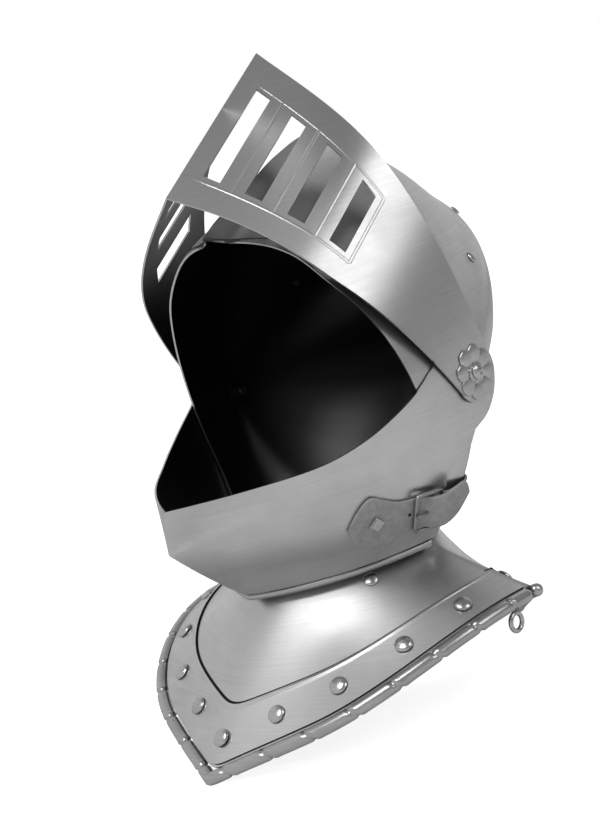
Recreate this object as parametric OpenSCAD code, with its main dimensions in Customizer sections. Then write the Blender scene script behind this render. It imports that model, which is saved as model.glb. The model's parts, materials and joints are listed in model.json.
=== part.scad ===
// Armet: a closed helmet with a barred visor, a strapped bevor and a flared gorget.
// Millimetres, +Z up, the face looks along -Y and the wearer's left is +X.
// The helmet stands on z = 0. Most shapes are set out from the pivot axis in
// x (to the wearer's left), f (forward of the pivots) and u (above the pivots).

/* [Sheet metal] */
// Thickness of every steel plate
plate_t = 1.2; // [0.8:0.1:2]
// Air left between two plates that slide over each other
slide_gap = 0.6; // [0.4:0.1:1.5]
// Air left between pieces that are seated or riveted together
seat_gap = 0.05; // [0.02:0.01:0.2]

/* [Pivots] */
// Distance of the pivot axis behind the middle of the helmet's length
pivot_y = 30.25; // [25:0.05:40]
// How far the helmet leans back on its gorget
tilt = 6.2; // [5:0.1:8]
// Radius of the pivot screw's shank
screw_r = 3; // [2:0.1:4]
// Radial running clearance of the plates on the shank
screw_fit = 0.05; // [0.02:0.01:0.1]
// Radius of the domed screw head
screw_head_r = 4.8; // [4:0.1:7]
// Height of the domed screw head
screw_head_h = 2.6; // [2:0.1:4]
// Distance across the flats of the inner nut
nut_af = 10; // [8:0.5:13]
// Thickness of the inner nut
nut_h = 4; // [3:0.5:6]
// Radius of the washer under the nut
washer_r = 8; // [7:0.5:12]
// Thickness of the washer under the nut
washer_t = 1; // [0.6:0.1:2]

/* [Skull] */
// Half width of the skull at the pivots
skull_w = 98.4; // [95:0.1:100]
// Distance from the pivot axis to the brow
skull_brow_r = 131; // [124:1:134]
// Distance from the pivot axis to the crown
skull_crown_r = 144.5; // [138:0.5:147]
// Distance from the pivot axis to the top of the back
skull_poll_r = 139.7; // [134:0.1:142]
// Distance from the pivot axis to the back of the head
skull_back_r = 90.5; // [88:0.5:100]
// Distance from the pivot axis to the nape
skull_nape_r = 72; // [70:0.5:80]
// Distance from the pivot axis to the lower edge under the ears
skull_foot_r = 134; // [126:1:136]
// Height of the comb that runs over the crown
comb_h = 8; // [4:0.5:9]
// Half width of the comb's foot
comb_w = 14; // [10:1:20]

/* [Bevor] */
// Radius of the bevor in side view
bevor_r = 141; // [138:1:146]
// How far the keel stands out at the chin
chin_h = 33; // [20:1:38]
// How far the keel stands out at the upper edge
lip_h = 23; // [14:1:26]
// Half width of the keel's foot
keel_w = 77; // [50:1:85]
// Angle of the chin crease below the pivots
chin_deg = 22; // [18:1:26]
// Radius of the rolled bead round the neck
bead_r = 2.2; // [1.5:0.1:3]
// Height of the neck opening below the pivots, measured under the pivots
neck_drop = 87; // [84:0.5:90]
// Slope of the neck opening, down towards the throat
neck_slope = 0.155; // [0.12:0.005:0.18]

/* [Visor] */
// Depth of the visor's rounded section
visor_a = 148.5; // [145:0.5:156]
// How far the visor's keel stands out from the rounded section
visor_keel_h = 22.5; // [18:0.5:26]
// Half width of the foot of the visor's keel
visor_keel_w = 65; // [50:1:75]
// Squareness of the visor's section
visor_n = 2.25; // [2.1:0.05:2.5]
// Angle between the visor's keel and upright in the raised position
visor_raise = 50.4; // [40:0.1:56]
// Radius of the visor's ear at the pivot
visor_ear_r = 17.5; // [16:0.5:22]
// Depth of the visor below the pivots at the sides
visor_low = 17; // [15:0.5:20]
// Depth of the visor below the pivots at the keel
visor_low_keel = 8; // [4:0.5:12]

/* [Sights and breaths] */
// Number of slots on each side
slot_count = 4; // [2:1:4]
// Width of a slot
slot_w = 11; // [6:0.5:14]
// Distance of the first slot's middle from the keel, along the plate
slot_first = 18; // [16:0.5:22]
// Distance between the middles of two slots, along the plate
slot_pitch = 27.3; // [22:0.1:28]
// Distance of a slot's end below the visor's upper edge
slot_top_margin = 21; // [18:0.5:26]
// Height of the foremost slot's lower end
slot_low = 13.2; // [10:0.1:16]
// Width of the raised lines round the slots
line_w = 1.8; // [1:0.1:3]
// Height of the raised lines
line_h = 0.8; // [0.4:0.1:1.5]
// Distance from a slot's end to the raised line
line_margin = 4.5; // [3:0.5:8]

/* [Rosettes] */
// Number of petals
petal_count = 8; // [5:1:12]
// Radius of a petal's tip circle
petal_r = 5.4; // [4:0.1:7]
// Distance of a petal's middle from the pivot
petal_reach = 10.8; // [9:0.1:12]
// Thickness of a rosette
rosette_t = 1.6; // [1:0.1:3]

/* [Gorget] */
// Reach of the rim's point ahead of the pivots
gorget_front = 166; // [150:1:170]
// Reach of the rim behind the pivots
gorget_back = 114; // [105:1:120]
// Half width of the rim at the shoulders
gorget_w = 128; // [115:1:135]
// Depth of the rim below the pivots at the shoulders
shoulder_drop = 126; // [116:1:134]
// Depth of the rim below the pivots at its front point
front_drop = 193.1; // [188:0.1:196]
// Depth of the rim below the pivots at the back
back_drop = 164; // [158:0.5:170]
// How far the rim's front point stands out from its rounded plan
gorget_keel_h = 14; // [6:1:18]
// Half width of the foot of the gorget's keel
gorget_keel_w = 60; // [40:1:70]
// How hollow the plates are between the neck and the rim
flare = 1.15; // [1:0.05:1.6]
// Radius of the rolled rim
rim_r = 4; // [3:0.1:5]
// How much of the rim's front point is worn flat where the helmet rests on it
rim_wear = 1.07; // [0.5:0.01:1.5]
// Depth of the pinched creases in the rolled rim
crimp_h = 0.7; // [0.3:0.1:1.2]
// Number of creases in half a rim
crimp_count = 6; // [3:1:8]
// Height of the plates' necks above the neck opening
neck_lap = 7; // [5:0.5:9]
// Start of the border strip, as a share of the way from neck to rim
strip_start = 0.66; // [0.6:0.01:0.75]
// Thickness of the border strip
strip_t = 0.9; // [0.6:0.1:1.5]
// Distance by which the back plate passes under the front plate
plate_lap = 10; // [6:1:14]

/* [Rivets] */
// Radius of a border rivet's domed head
rivet_r = 5.3; // [4:0.1:6]
// Height of a border rivet's domed head
rivet_h = 2.5; // [1.5:0.1:3.5]
// Radius of a rivet's shank
shank_r = 2; // [1.5:0.1:2.5]
// Radius of the small rivets' heads
small_rivet_r = 3.6; // [3:0.1:4.5]
// Height of the small rivets' heads
small_rivet_h = 1.8; // [1.2:0.1:2.5]

/* [Strap] */
// Width of the strap
strap_w = 17; // [14:0.5:18]
// Width of the strap's leaf-shaped end
leaf_w = 29; // [24:0.5:32]
// Thickness of the strap leather
strap_t = 2.4; // [2:0.1:3]
// Depth of the strap's middle below the pivots
strap_drop = 69; // [66:0.5:72]
// Radius of the buckle's wire
wire_r = 1.25; // [1:0.05:1.6]
// Length of the buckle frame, between the middles of its bars
buckle_l = 17; // [16:0.5:20]
// Height of the buckle frame, between the middles of its bars
buckle_h = 22.5; // [21:0.5:26]

/* [Hidden] */

steel = "silver";
bright = "gainsboro";
leather = "dimgray";

// Height of the pivot axis above the table, from the rim's front point
pivot_z = front_drop * cos(tilt) - (gorget_front - rim_r) * sin(tilt) + rim_r - rim_wear;

// Half widths of the bevor and the visor at the pivots, each clear of the plate inside it
bevor_w = skull_w + plate_t + slide_gap;
visor_w = bevor_w + plate_t + slide_gap;

pivot_fn = 64;
rest_gap = 0.3;
big = 400;

// Basic helpers

function smooth(u) = let (c = min(1, max(0, u))) c * c * (3 - 2 * c);
function lerp(a, b, u) = a + (b - a) * u;
function spow(v, e) = sign(v) * pow(abs(v), e);
function unit(v) = v / norm(v);
function bump(x, w) = pow(max(0, 1 - abs(x) / w), 2);

// A point given by x, f and u in the helmet's own frame, which leans back about the pivots
function place(x, f, u) = [x, pivot_y - f * cos(tilt) + u * sin(tilt),
  pivot_z + f * sin(tilt) + u * cos(tilt)];

// One span of a smooth curve that passes through b at t = 0 and c at t = 1
function span(a, b, c, d, t) =
  0.5 * (2 * b + (c - a) * t + (2 * a - 5 * b + 4 * c - d) * t * t + (3 * b - a - 3 * c + d) * t * t * t);

// A smooth open curve through the given points, with a few steps in each span
function curve(pts, steps = 5) = let (m = len(pts) - 1)
  concat([for (i = [0 : m - 1]) for (k = [0 : steps - 1])
    span(pts[max(0, i - 1)], pts[i], pts[i + 1], pts[min(m, i + 2)], k / steps)], [pts[m]]);

// A smooth closed ring of evenly spaced radii
function ring_radius(radii, a) = let (m = len(radii), q = (a % 360 + 360) % 360 * m / 360, i = floor(q),
  t = q - i) span(radii[(i + m - 1) % m], radii[i % m], radii[(i + 1) % m], radii[(i + 2) % m], t);

// A thin solid between two grids of points, closed along its four edges
module grid_solid(outer, inner) {
  rows = len(outer);
  cols = len(outer[0]);
  count = rows * cols;
  pts = concat([for (r = outer) for (p = r) p], [for (r = inner) for (p = r) p]);
  function at(i, j) = i * cols + j;
  function quad(a, b, c, d) = [[a, c, b], [a, d, c]];
  faces = concat(
    [for (i = [0 : rows - 2]) for (j = [0 : cols - 2])
      for (q = quad(at(i, j), at(i, j + 1), at(i + 1, j + 1), at(i + 1, j))) q],
    [for (i = [0 : rows - 2]) for (j = [0 : cols - 2])
      for (q = quad(at(i, j), at(i + 1, j), at(i + 1, j + 1), at(i, j + 1))) q + count * [1, 1, 1]],
    [for (i = [0 : rows - 2]) for (q = quad(at(i, 0), at(i + 1, 0),
      at(i + 1, 0) + count, at(i, 0) + count)) q],
    [for (i = [0 : rows - 2]) for (q = quad(at(i + 1, cols - 1), at(i, cols - 1),
      at(i, cols - 1) + count, at(i + 1, cols - 1) + count)) q],
    [for (j = [0 : cols - 2]) for (q = quad(at(0, j + 1), at(0, j),
      at(0, j) + count, at(0, j + 1) + count)) q],
    [for (j = [0 : cols - 2]) for (q = quad(at(rows - 1, j), at(rows - 1, j + 1),
      at(rows - 1, j + 1) + count, at(rows - 1, j) + count)) q]);
  polyhedron(pts, faces);
}

// A tube of round section along a path, with its own radius at each point
module tube(path, radii, sides = 10) {
  m = len(path);
  dirs = [for (i = [0 : m - 1]) unit(path[min(m - 1, i + 1)] - path[max(0, i - 1)])];
  pts = [for (i = [0 : m - 1]) let (d = dirs[i], e = unit(cross(d, [0, 0, 1])), g = cross(e, d))
    for (k = [0 : sides - 1]) path[i] + radii[i] * (e * cos(360 * k / sides) + g * sin(360 * k / sides))];
  faces = concat([[for (k = [0 : sides - 1]) sides - 1 - k]],
    [for (i = [0 : m - 2]) for (k = [0 : sides - 1]) let (a = i * sides + k, b = i * sides + (k + 1) % sides)
      for (q = [[a, b + sides, a + sides], [a, b, b + sides]]) q],
    [[for (k = [0 : sides - 1]) (m - 1) * sides + k]]);
  polyhedron(pts, faces);
}

// A domed rivet along +Z with its seat at z = 0, and its shank of the same piece
module rivet(head_r, head_h, grip) {
  rotate_extrude($fn = 32) polygon(concat([[0, seat_gap]],
    [for (a = [0 : 15 : 90]) [head_r * cos(a), seat_gap + 0.3 + (head_h - 0.3) * sin(a)]],
    [[0, head_h + seat_gap]]));
  translate([0, 0, -grip]) cylinder(h = grip + seat_gap + 0.2, r = shank_r, $fn = 24);
}

// The hole for a rivet's shank
hole_h = 20;
module shank_hole() cylinder(h = hole_h, r = shank_r + seat_gap, center = true, $fn = 24);

// Turns +Z of the children to a direction
module along(dir) {
  turn = atan2(dir[1], dir[0]);
  lean = acos(dir[2] / norm(dir));
  rotate([0, lean, turn]) children();
}

module at_pivot() translate([0, pivot_y, pivot_z]) rotate([-tilt, 0, 0]) children();

// A prism across the helmet whose outline is given in f and u
module side_prism(outline)
  at_pivot() rotate([90, 0, 90]) linear_extrude(big, center = true)
    polygon([for (p = outline) [-p[0], p[1]]]);

// A hole through both sides on the pivot axis, turned so that its seam lies between the shells' facets
bore_turn = 2;
module pivot_bore(r) at_pivot() rotate([0, 90, 0]) rotate(bore_turn)
  cylinder(h = big, r = r, center = true, $fn = pivot_fn);

// Domed shells round the pivot axis. Their radius in side view changes with the
// angle above the forward direction, and fades to nothing at the two pivots.

// The radii are 15 degrees apart, from 20 degrees above the forward direction: brow, crown, the flat slope
// behind it, the back of the head, the nape and the cheeks
skull_radii = concat([for (k = [0, 1, 2, 4]) skull_brow_r - k], [for (k = [9.5, 0, 3.5]) skull_crown_r - k],
  [skull_poll_r - 2.5, skull_poll_r, (skull_poll_r + skull_back_r) / 2 + 2, skull_back_r],
  [for (k = [5, 0, 0, 4, 13]) skull_nape_r + k], [for (k = [35, 17.5, 2, -1, 0, 0, 1]) skull_foot_r - k],
  [skull_brow_r + 1]);
function skull_side(a) = ring_radius(skull_radii, a - 20);
function skull_square(a) = let (q = (a % 360 + 360) % 360)
  2 - 0.3 * smooth((q - 60) / 60) * (1 - smooth((q - 257) / 20));
function skull_proud(x, a) = comb_h * bump(x, comb_w);

// The keel grows from the upper edge to the chin and dies away under the throat
lip_deg = 7.6;
throat_deg = 62;
function keel_h(a) = let (q = (a + 180) % 360 - 180 + chin_deg)
  q > 0 ? lerp(chin_h, lip_h, min(1.8, q / lip_deg)) : chin_h * pow(max(0, 1 + q / throat_deg), 3);
function bevor_proud(x, a) = max(0, keel_h(a)) * bump(x, keel_w);

function is_skull(kind) = kind == "skull";
function shell_w(kind) = is_skull(kind) ? skull_w : bevor_w;
function shell_side(kind, a) = is_skull(kind) ? skull_side(a) : bevor_r;
function shell_square(kind, a) = is_skull(kind) ? skull_square(a) : 2;
function shell_proud(kind, x, a) = is_skull(kind) ? skull_proud(x, a) : bevor_proud(x, a);

// Point of a shell at angle a round the axis and t from pole to pole
function shell_point(kind, a, t, inset) = let (n = shell_square(kind, a), c = pow(abs(cos(t)), 2 / n),
  x = (shell_w(kind) - inset) * spow(sin(t), 2 / n),
  r = (shell_side(kind, a) - inset) * c + shell_proud(kind, x, a))
  place(x, r * cos(a), r * sin(a));

// How far a place is outside a shell, as a signed measure
function shell_level(kind, x, f, u) = let (a = atan2(u, f), n = shell_square(kind, a),
  r = norm([f, u]) - shell_proud(kind, x, a))
  pow(abs(x) / shell_w(kind), n) + pow(max(0, r) / shell_side(kind, a), n) - 1;

module shell_blob(kind, inset, angles, steps) {
  m = len(angles);
  rings = [for (j = [1 : steps - 1]) for (a = angles)
    shell_point(kind, a, 90 * spow(2 * j / steps - 1, 1.2), inset)];
  w = shell_w(kind) - inset;
  pts = concat([place(-w, 0, 0)], rings, [place(w, 0, 0)]);
  last = len(pts) - 1;
  faces = concat(
    [for (i = [0 : m - 1]) [0, 1 + (i + 1) % m, 1 + i]],
    [for (j = [0 : steps - 3]) for (i = [0 : m - 1]) let (a = 1 + j * m + i, b = 1 + j * m + (i + 1) % m)
      for (q = [[a, b, b + m], [a, b + m, a + m]]) q],
    [for (i = [0 : m - 1]) [last, last - m + i, last - m + (i + 1) % m]]);
  polyhedron(pts, faces);
}

// Neck opening: a plane that slopes down to the throat, cut through both shells

neck_f = 22;
function neck_u(f) = -neck_drop - neck_slope * f;
// Distance from the neck's middle to a shell in the direction t, by halving
function neck_reach(kind, t, lift, lo = 0, hi = 200, k = 0) = k == 18 ? (lo + hi) / 2 :
  let (mid = (lo + hi) / 2, f = neck_f + mid * cos(t), x = mid * sin(t))
  shell_level(kind, x, f, neck_u(f) + lift) > 0 ? neck_reach(kind, t, lift, lo, mid, k + 1)
    : neck_reach(kind, t, lift, mid, hi, k + 1);
function neck_point(kind, t, inset, lift = 0) = let (r = neck_reach(kind, t, lift) - inset,
  f = neck_f + r * cos(t)) [r * sin(t), f, neck_u(f) + lift];

// Skull

skull_angles = [for (i = [0 : 47]) i * 360 / 48];
shell_steps = 28;
face_edge = curve([[120, 112], [98, 102], [84, 96], [75, 85], [69, 67], [59, 46], [50, 23], [43, 1],
  [36, -25], [32, -45], [32, -60], [34, -70]]);
// Under the bevor the skull's lower edge is an arc about the pivots, clear of the front plate's neck
cheek_r = 88;
cheek_arc = [for (a = [-66 : -2 : -72]) cheek_r * [cos(a), sin(a)]];
function skull_foot_u(f) = neck_u(f) + seat_gap;
module skull_keep() side_prism(concat(face_edge, cheek_arc, [[bevor_rear_f, -cheek_r * 0.955],
  [bevor_rear_f, skull_foot_u(bevor_rear_f)], [-big, skull_foot_u(-big)], [-big, big], [130, big]]));

module skull() color(steel)
  difference() {
    intersection() {
      difference() {
        shell_blob("skull", 0, skull_angles, shell_steps);
        shell_blob("skull", plate_t, skull_angles, shell_steps);
      }
      skull_keep();
    }
    pivot_bore(screw_r + seat_gap);
    skull_rivet_places() shank_hole();
    rear_strap_rivet_place() shank_hole();
  }

// Outward direction of a shell at angle a and t
function shell_normal(kind, a, t) = let (e = 0.5,
  p = shell_point(kind, a + e, t, 0) - shell_point(kind, a - e, t, 0),
  q = shell_point(kind, a, t + e, 0) - shell_point(kind, a, t - e, 0)) unit(cross(q, p));

// Angle round the pivots and angle from the comb of the rivets on each side
side_rivets = [[128, 51.7], [134, 25.2]];
module skull_rivet_places() for (s = [-1, 1]) for (r = side_rivets)
  translate(shell_point("skull", r[0], s * r[1], 0)) along(shell_normal("skull", r[0], s * r[1])) children();
module skull_rivets() color(bright) skull_rivet_places() rivet(small_rivet_r, small_rivet_h, plate_t + 1);

// Bead round the bevor's neck

bead_step = 4;
bead_end = 84;
bead_path = [for (t = [-bead_end : bead_step : bead_end])
  let (q = neck_point("bevor", t, plate_t / 2)) place(q[0], q[1], q[2])];
module bevor_bead() color(steel) tube(bead_path, [for (p = bead_path) bead_r], 8);

// Pivot hardware

screw_seat = visor_w + rosette_t + 2 * seat_gap;
// The skull curves away from its pivots, so the washer stands a little off it
washer_gap = 2;
nut_face = skull_w - plate_t - washer_t - washer_gap;
module pivot_screws() color(bright) at_pivot() for (s = [0, 1]) mirror([s, 0, 0]) rotate([0, 90, 0])
  difference() {
    union() {
      translate([0, 0, nut_face - nut_h - 1])
        cylinder(h = screw_seat - nut_face + nut_h + 1.2, r = screw_r, $fn = pivot_fn);
      translate([0, 0, screw_seat]) rotate_extrude($fn = 48) polygon(concat([[0, 0], [screw_head_r, 0]],
        [for (a = [0 : 10 : 90]) [screw_head_r * cos(a), 0.4 + (screw_head_h - 0.4) * sin(a)]]));
    }
    translate([0, 0, screw_seat + screw_head_h - 0.9]) cylinder(h = 2, r1 = 1.2, r2 = 2.6, $fn = 24);
  }
module pivot_nuts() color(bright) at_pivot() for (s = [0, 1]) mirror([s, 0, 0]) rotate([0, 90, 0])
  translate([0, 0, nut_face - nut_h]) difference() {
    cylinder(h = nut_h - seat_gap, r = nut_af / sqrt(3), $fn = 6);
    translate([0, 0, -1]) cylinder(h = nut_h + 2, r = screw_r + seat_gap, $fn = pivot_fn);
  }
module nut_washers() color(bright) at_pivot() for (s = [0, 1]) mirror([s, 0, 0]) rotate([0, 90, 0])
  translate([0, 0, nut_face]) difference() {
    cylinder(h = washer_t, r = washer_r, $fn = 48);
    translate([0, 0, -1]) cylinder(h = washer_t + 2, r = screw_r + seat_gap, $fn = pivot_fn);
  }

// Bevor

bevor_angles = concat([for (i = [0 : 16]) -chin_deg - 5.5 * (16 - i)], [for (i = [1 : 7]) -chin_deg + 7 * i],
  [for (i = [1 : 18]) -chin_deg + 49 + i * 223 / 19]);
bevor_rear_f = 26;
bevor_edge = curve([[190, -46], [160, -41.5], [130, -36.5], [100, -31], [79, -23], [62, -14], [43, -2],
  [26, 12], [12, 19], [0, 20.5], [-14, 15], [-20.5, 0], [-18, -14], [-10, -25], [0, -31], [11, -36.5],
  [20, -41], [25, -48], [bevor_rear_f, -60], [bevor_rear_f, -110]], 4);

module bevor() color(steel)
  difference() {
    intersection() {
      difference() {
        shell_blob("bevor", 0, bevor_angles, shell_steps);
        shell_blob("bevor", plate_t, bevor_angles, shell_steps);
      }
      side_prism(concat([for (p = bevor_edge) if (p[1] > neck_u(p[0]) + bead_r + seat_gap) p],
        [[bevor_rear_f, neck_u(bevor_rear_f) + bead_r + seat_gap], [190, neck_u(190) + bead_r + seat_gap]]));
    }
    pivot_bore(screw_r + screw_fit);
    strap_rivet_place() shank_hole();
  }

// Visor, in its own frame: x across, a forward of the pivots, b along the keel

visor_fwd = visor_a + visor_keel_h;
function visor_point(t) = let (x = visor_w * spow(sin(t), 2 / visor_n))
  [x, visor_a * pow(abs(cos(t)), 2 / visor_n) + visor_keel_h * bump(x, visor_keel_w)];
function visor_dir(t) = unit(visor_point(min(90, t + 0.4)) - visor_point(t - 0.4));
// The plate's outline moved outward by d, along the plate's own normal
function visor_off(t, d) = let (g = abs(t) >= 89.9 ? [0, -sign(t)] : visor_dir(t))
  visor_point(t) + d * [-g[1], g[0]];
visor_ts = [for (t = [-90 : 3 : 90]) t];
// Distance along the plate from the keel, and the matching t
visor_arc = [for (i = 0, s = 0; i <= 180;
  s = s + norm(visor_point((i + 1) / 2) - visor_point(i / 2)), i = i + 1) [s, i / 2]];
function visor_at(s) = lookup(s, visor_arc);

function visor_top(a) = 18 + 0.34 * a + 0.00113 * a * a;
function visor_bottom(a) = -visor_low + (visor_low - visor_low_keel) * smooth((a - 95) / 65);
function slot_bottom(a) = slot_low - 0.2 * (visor_fwd - 9 - a);
function slot_top(a) = visor_top(a) - slot_top_margin;

module in_visor() at_pivot() rotate([-visor_raise, 0, 0]) children();

// A standing band that follows the visor's section from offset d0 to offset d1
module visor_band(d0, d1, tail) translate([0, 0, -40]) linear_extrude(200)
  polygon([for (p = concat([[-visor_w - d1, -tail]], [for (t = visor_ts) visor_off(t, d1)],
    [[visor_w + d1, -tail], [visor_w + d0, -tail]],
    [for (i = [len(visor_ts) - 1 : -1 : 0]) visor_off(visor_ts[i], d0)],
    [[-visor_w - d0, -tail]])) [p[0], -p[1]]]);

// A prism across the visor whose outline is given in a and b
module visor_prism(outline) rotate([90, 0, 90]) linear_extrude(big, center = true)
  polygon([for (p = outline) [-p[0], p[1]]]);

visor_reach = visor_fwd + 10;
visor_as = [for (a = [0 : 8 : visor_reach]) a];
visor_last = len(visor_as) - 1;
module visor_outline() rotate([90, 0, 90]) linear_extrude(big, center = true) {
  polygon(concat([for (a = visor_as) [-a, visor_bottom(a)]],
    [for (i = [visor_last : -1 : 0]) [-visor_as[i], visor_top(visor_as[i])]]));
  circle(r = visor_ear_r, $fn = pivot_fn);
}

// Places the children on the plate at distance s from the keel, with their x
// along the plate, y along the keel and z outward, on the left and on the right
module on_visor(s) {
  t = visor_at(s);
  p = visor_point(t);
  g = visor_dir(t);
  for (m = [0, 1]) mirror([m, 0, 0]) translate([p[0], -p[1], 0])
    rotate([90, 0, atan2(-g[1], g[0])]) children();
}

module slot(s) {
  left = visor_point(visor_at(s - slot_w / 2))[1];
  right = visor_point(visor_at(s + slot_w / 2))[1];
  on_visor(s) linear_extrude(16, center = true)
    polygon([[-slot_w / 2, slot_bottom(left)], [slot_w / 2, slot_bottom(right)],
      [slot_w / 2, slot_top(right)], [-slot_w / 2, slot_top(left)]]);
}

line_rear = slot_first + (slot_count - 1) * slot_pitch + slot_w / 2 + line_margin + 1;
line_rear_a = visor_point(visor_at(line_rear))[1];
// The lines under and over the slots, as outlines in a and b
function low_line_b(a) = slot_bottom(a) - line_margin;
function high_line_b(a) = slot_top(a) + line_margin;
line_as = [for (a = [line_rear_a : 8 : visor_reach]) a];
low_line = [[line_rear_a, low_line_b(line_rear_a)], [big, low_line_b(big)], [big, low_line_b(big) + line_w],
  [line_rear_a, low_line_b(line_rear_a) + line_w]];
high_line = concat([for (a = line_as) [a, high_line_b(a)]],
  [for (i = [len(line_as) - 1 : -1 : 0]) [line_as[i], high_line_b(line_as[i]) - line_w]]);
module raised_lines() {
  for (s = concat([for (i = [0 : slot_count - 2]) slot_first + (i + 0.5) * slot_pitch], [line_rear])) {
    a = visor_point(visor_at(s))[1];
    low = slot_bottom(a) - line_margin;
    on_visor(s) translate([0, 0, -plate_t / 2]) linear_extrude(plate_t / 2 + line_h)
      translate([-line_w / 2, low]) square([line_w, slot_top(a) + line_margin - low]);
  }
  for (outline = [low_line, high_line]) intersection() {
    visor_band(-plate_t / 2, line_h, 0);
    visor_prism(outline);
  }
}

module visor() color(steel) in_visor()
  difference() {
    union() {
      intersection() {
        visor_band(-plate_t, 0, visor_ear_r + 2);
        visor_outline();
      }
      raised_lines();
    }
    for (i = [0 : slot_count - 1]) slot(slot_first + i * slot_pitch);
    rotate([0, 90, 0]) cylinder(h = big, r = screw_r + screw_fit, center = true, $fn = pivot_fn);
  }

module rosette() difference() {
  union() {
    cylinder(h = rosette_t, r = petal_reach - 1, $fn = 48);
    for (i = [0 : petal_count - 1]) rotate(360 * i / petal_count) translate([petal_reach, 0, 0])
      cylinder(h = rosette_t, r = petal_r, $fn = 32);
  }
  translate([0, 0, -1]) cylinder(h = rosette_t + 2, r = screw_r + screw_fit, $fn = pivot_fn);
}
module rosette_at(side) color(bright) in_visor() translate([side * (visor_w + seat_gap), 0, 0])
  rotate([0, side * 90, 0]) rosette();
module rosette_left() rosette_at(1);
module rosette_right() rosette_at(-1);

// Gorget: each plate runs from its neck, inside a shell, to the rolled rim

rim_f = 2;
function front_rim(t, inset) = let (x = (gorget_w - rim_r - inset) * spow(sin(t), 1 / 1.1),
  depth = gorget_front - rim_r - rim_f - gorget_keel_h,
  f = rim_f + (depth - inset) * pow(max(0, cos(t)), 1 / 1.1) + gorget_keel_h * bump(x, gorget_keel_w))
  [x, f, lerp(-shoulder_drop, -front_drop, pow(f / (gorget_front - rim_r), 2.1))];
// The back rim's half from the shoulder to its middle, and one place beyond it: share of the half width,
// share of the reach and share of the drop
back_rim_half = curve([[1, 0, 0], [0.91, 0.04, 0.1], [0.81, 0.115, 0.28], [0.715, 0.22, 0.42],
  [0.61, 0.36, 0.56], [0.485, 0.51, 0.74], [0.365, 0.67, 0.915], [0.24, 0.82, 1.02], [0.12, 0.94, 0.998],
  [0, 0.985, 0.98], [-0.12, 0.94, 0.998]], 4);
function back_share(q) = let (n = len(back_rim_half) - 5, i = min(n - 1, floor(q * n)))
  lerp(back_rim_half[i], back_rim_half[i + 1], q * n - i);
function back_rim(t, inset) = let (p = back_share(max(0, 1 - abs(180 - t) / 90)))
  [sign(180 - t) * p[0] * (gorget_w - rim_r - inset), rim_f - p[1] * (gorget_back + rim_f - rim_r - inset),
   lerp(-shoulder_drop, -back_drop, p[2])];
// Middle of the rolled rim, t = 0 in front and 180 behind
function rim_point(t, inset) = cos(t) > 0 ? front_rim(t, inset) : back_rim(t, inset);

// The neck of each plate stands inside its shell, and behind the bevor's bead it ends at the neck opening
rim_gap = 0.8;
function neck_gap(kind) = kind == "skull" ? 2 * plate_t + 0.4 : plate_t / 2 + bead_r + 1.4;
function neck_lift(kind, t) = kind == "skull" ? neck_lap
  : lerp(neck_lap, -1, smooth((abs(t) - bead_end) / 2.5));
function plate_row(kind, t, vs) = let (gap = neck_gap(kind),
  top = neck_point(kind, t, gap, neck_lift(kind, t)),
  a = neck_point(kind, t, gap, kind == "skull" ? -1.5 : -bead_r - 0.8),
  under = kind == "skull" ? (plate_t + slide_gap) * 1.9 * (1 - smooth((min(t, 360 - t) - 88) / 4)) : 0,
  rim = rim_point(t, under), b = rim + (rim_r + rim_gap) * unit(a - rim))
  [for (v = vs) let (g = pow(max(0, v), flare),
    q = v < 0 ? top : [lerp(a[0], b[0], g), lerp(a[1], b[1], g), lerp(a[2], b[2], v)])
    place(q[0], q[1], q[2])];
function plate_grid(kind, ts, vs) = [for (t = ts) plate_row(kind, t, vs)];
function between(m, i) = [max(0, i - 1), min(m - 1, i + 1)];
function grid_normal(g, i, j) = let (a = between(len(g), i), b = between(len(g[0]), j))
  unit(cross(g[i][b[1]] - g[i][b[0]], g[a[1]][j] - g[a[0]][j]));
function grid_offset(g, d) = [for (i = [0 : len(g) - 1])
  [for (j = [0 : len(g[0]) - 1]) g[i][j] + d * grid_normal(g, i, j)]];

front_end = 88;
front_side_ts = concat([for (i = [1 : 14]) i * 80 / 14], [bead_end - 1, bead_end + 2.5, front_end]);
front_ts = concat([for (i = [len(front_side_ts) - 1 : -1 : 0]) -front_side_ts[i]], [0], front_side_ts);
back_from = front_end - plate_lap * 0.3;
back_side_ts = concat([back_from, front_end, 90], [for (i = [1 : 17]) 90 + i * 5]);
back_ts = concat(back_side_ts, [180], [for (i = [len(back_side_ts) - 1 : -1 : 0]) 360 - back_side_ts[i]]);
strip_back_ts = [for (i = [0 : 32]) lerp(99, 261, i / 32)];
strip_end = 0.985;
plate_vs = concat([-1], [for (i = [0 : 4]) strip_start * i / 5], [strip_start, 0.83, 1]);
strip_vs = [strip_start, 0.83, strip_end];

front_grid = plate_grid("bevor", front_ts, plate_vs);
back_grid = plate_grid("skull", back_ts, plate_vs);

// Rivet places on the border strips, by angle round the gorget
front_rivet_ts = [0, 15, -15, 34, -34, 54, -54, 73, -73];
back_rivet_ts = [180, 160, -160, 139, -139, 120, -120, 103, -103];
rivet_v = 0.825;
function plate_spot(kind, t, v) = plate_row(kind, t, [v])[0];
function plate_normal(kind, t, v) = let (e = 1)
  unit(cross(plate_spot(kind, t, v + 0.01) - plate_spot(kind, t, v - 0.01),
    plate_spot(kind, t + e, v) - plate_spot(kind, t - e, v)));
module plate_places(kind, ts, v) for (t = ts) let (q = (t + 360) % 360, w = kind == "skull" ? q : t)
  translate(plate_spot(kind, w, v)) along(plate_normal(kind, w, v)) children();

neck_rivet_v = 0.11;
front_neck_ts = [52, -52];

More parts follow.
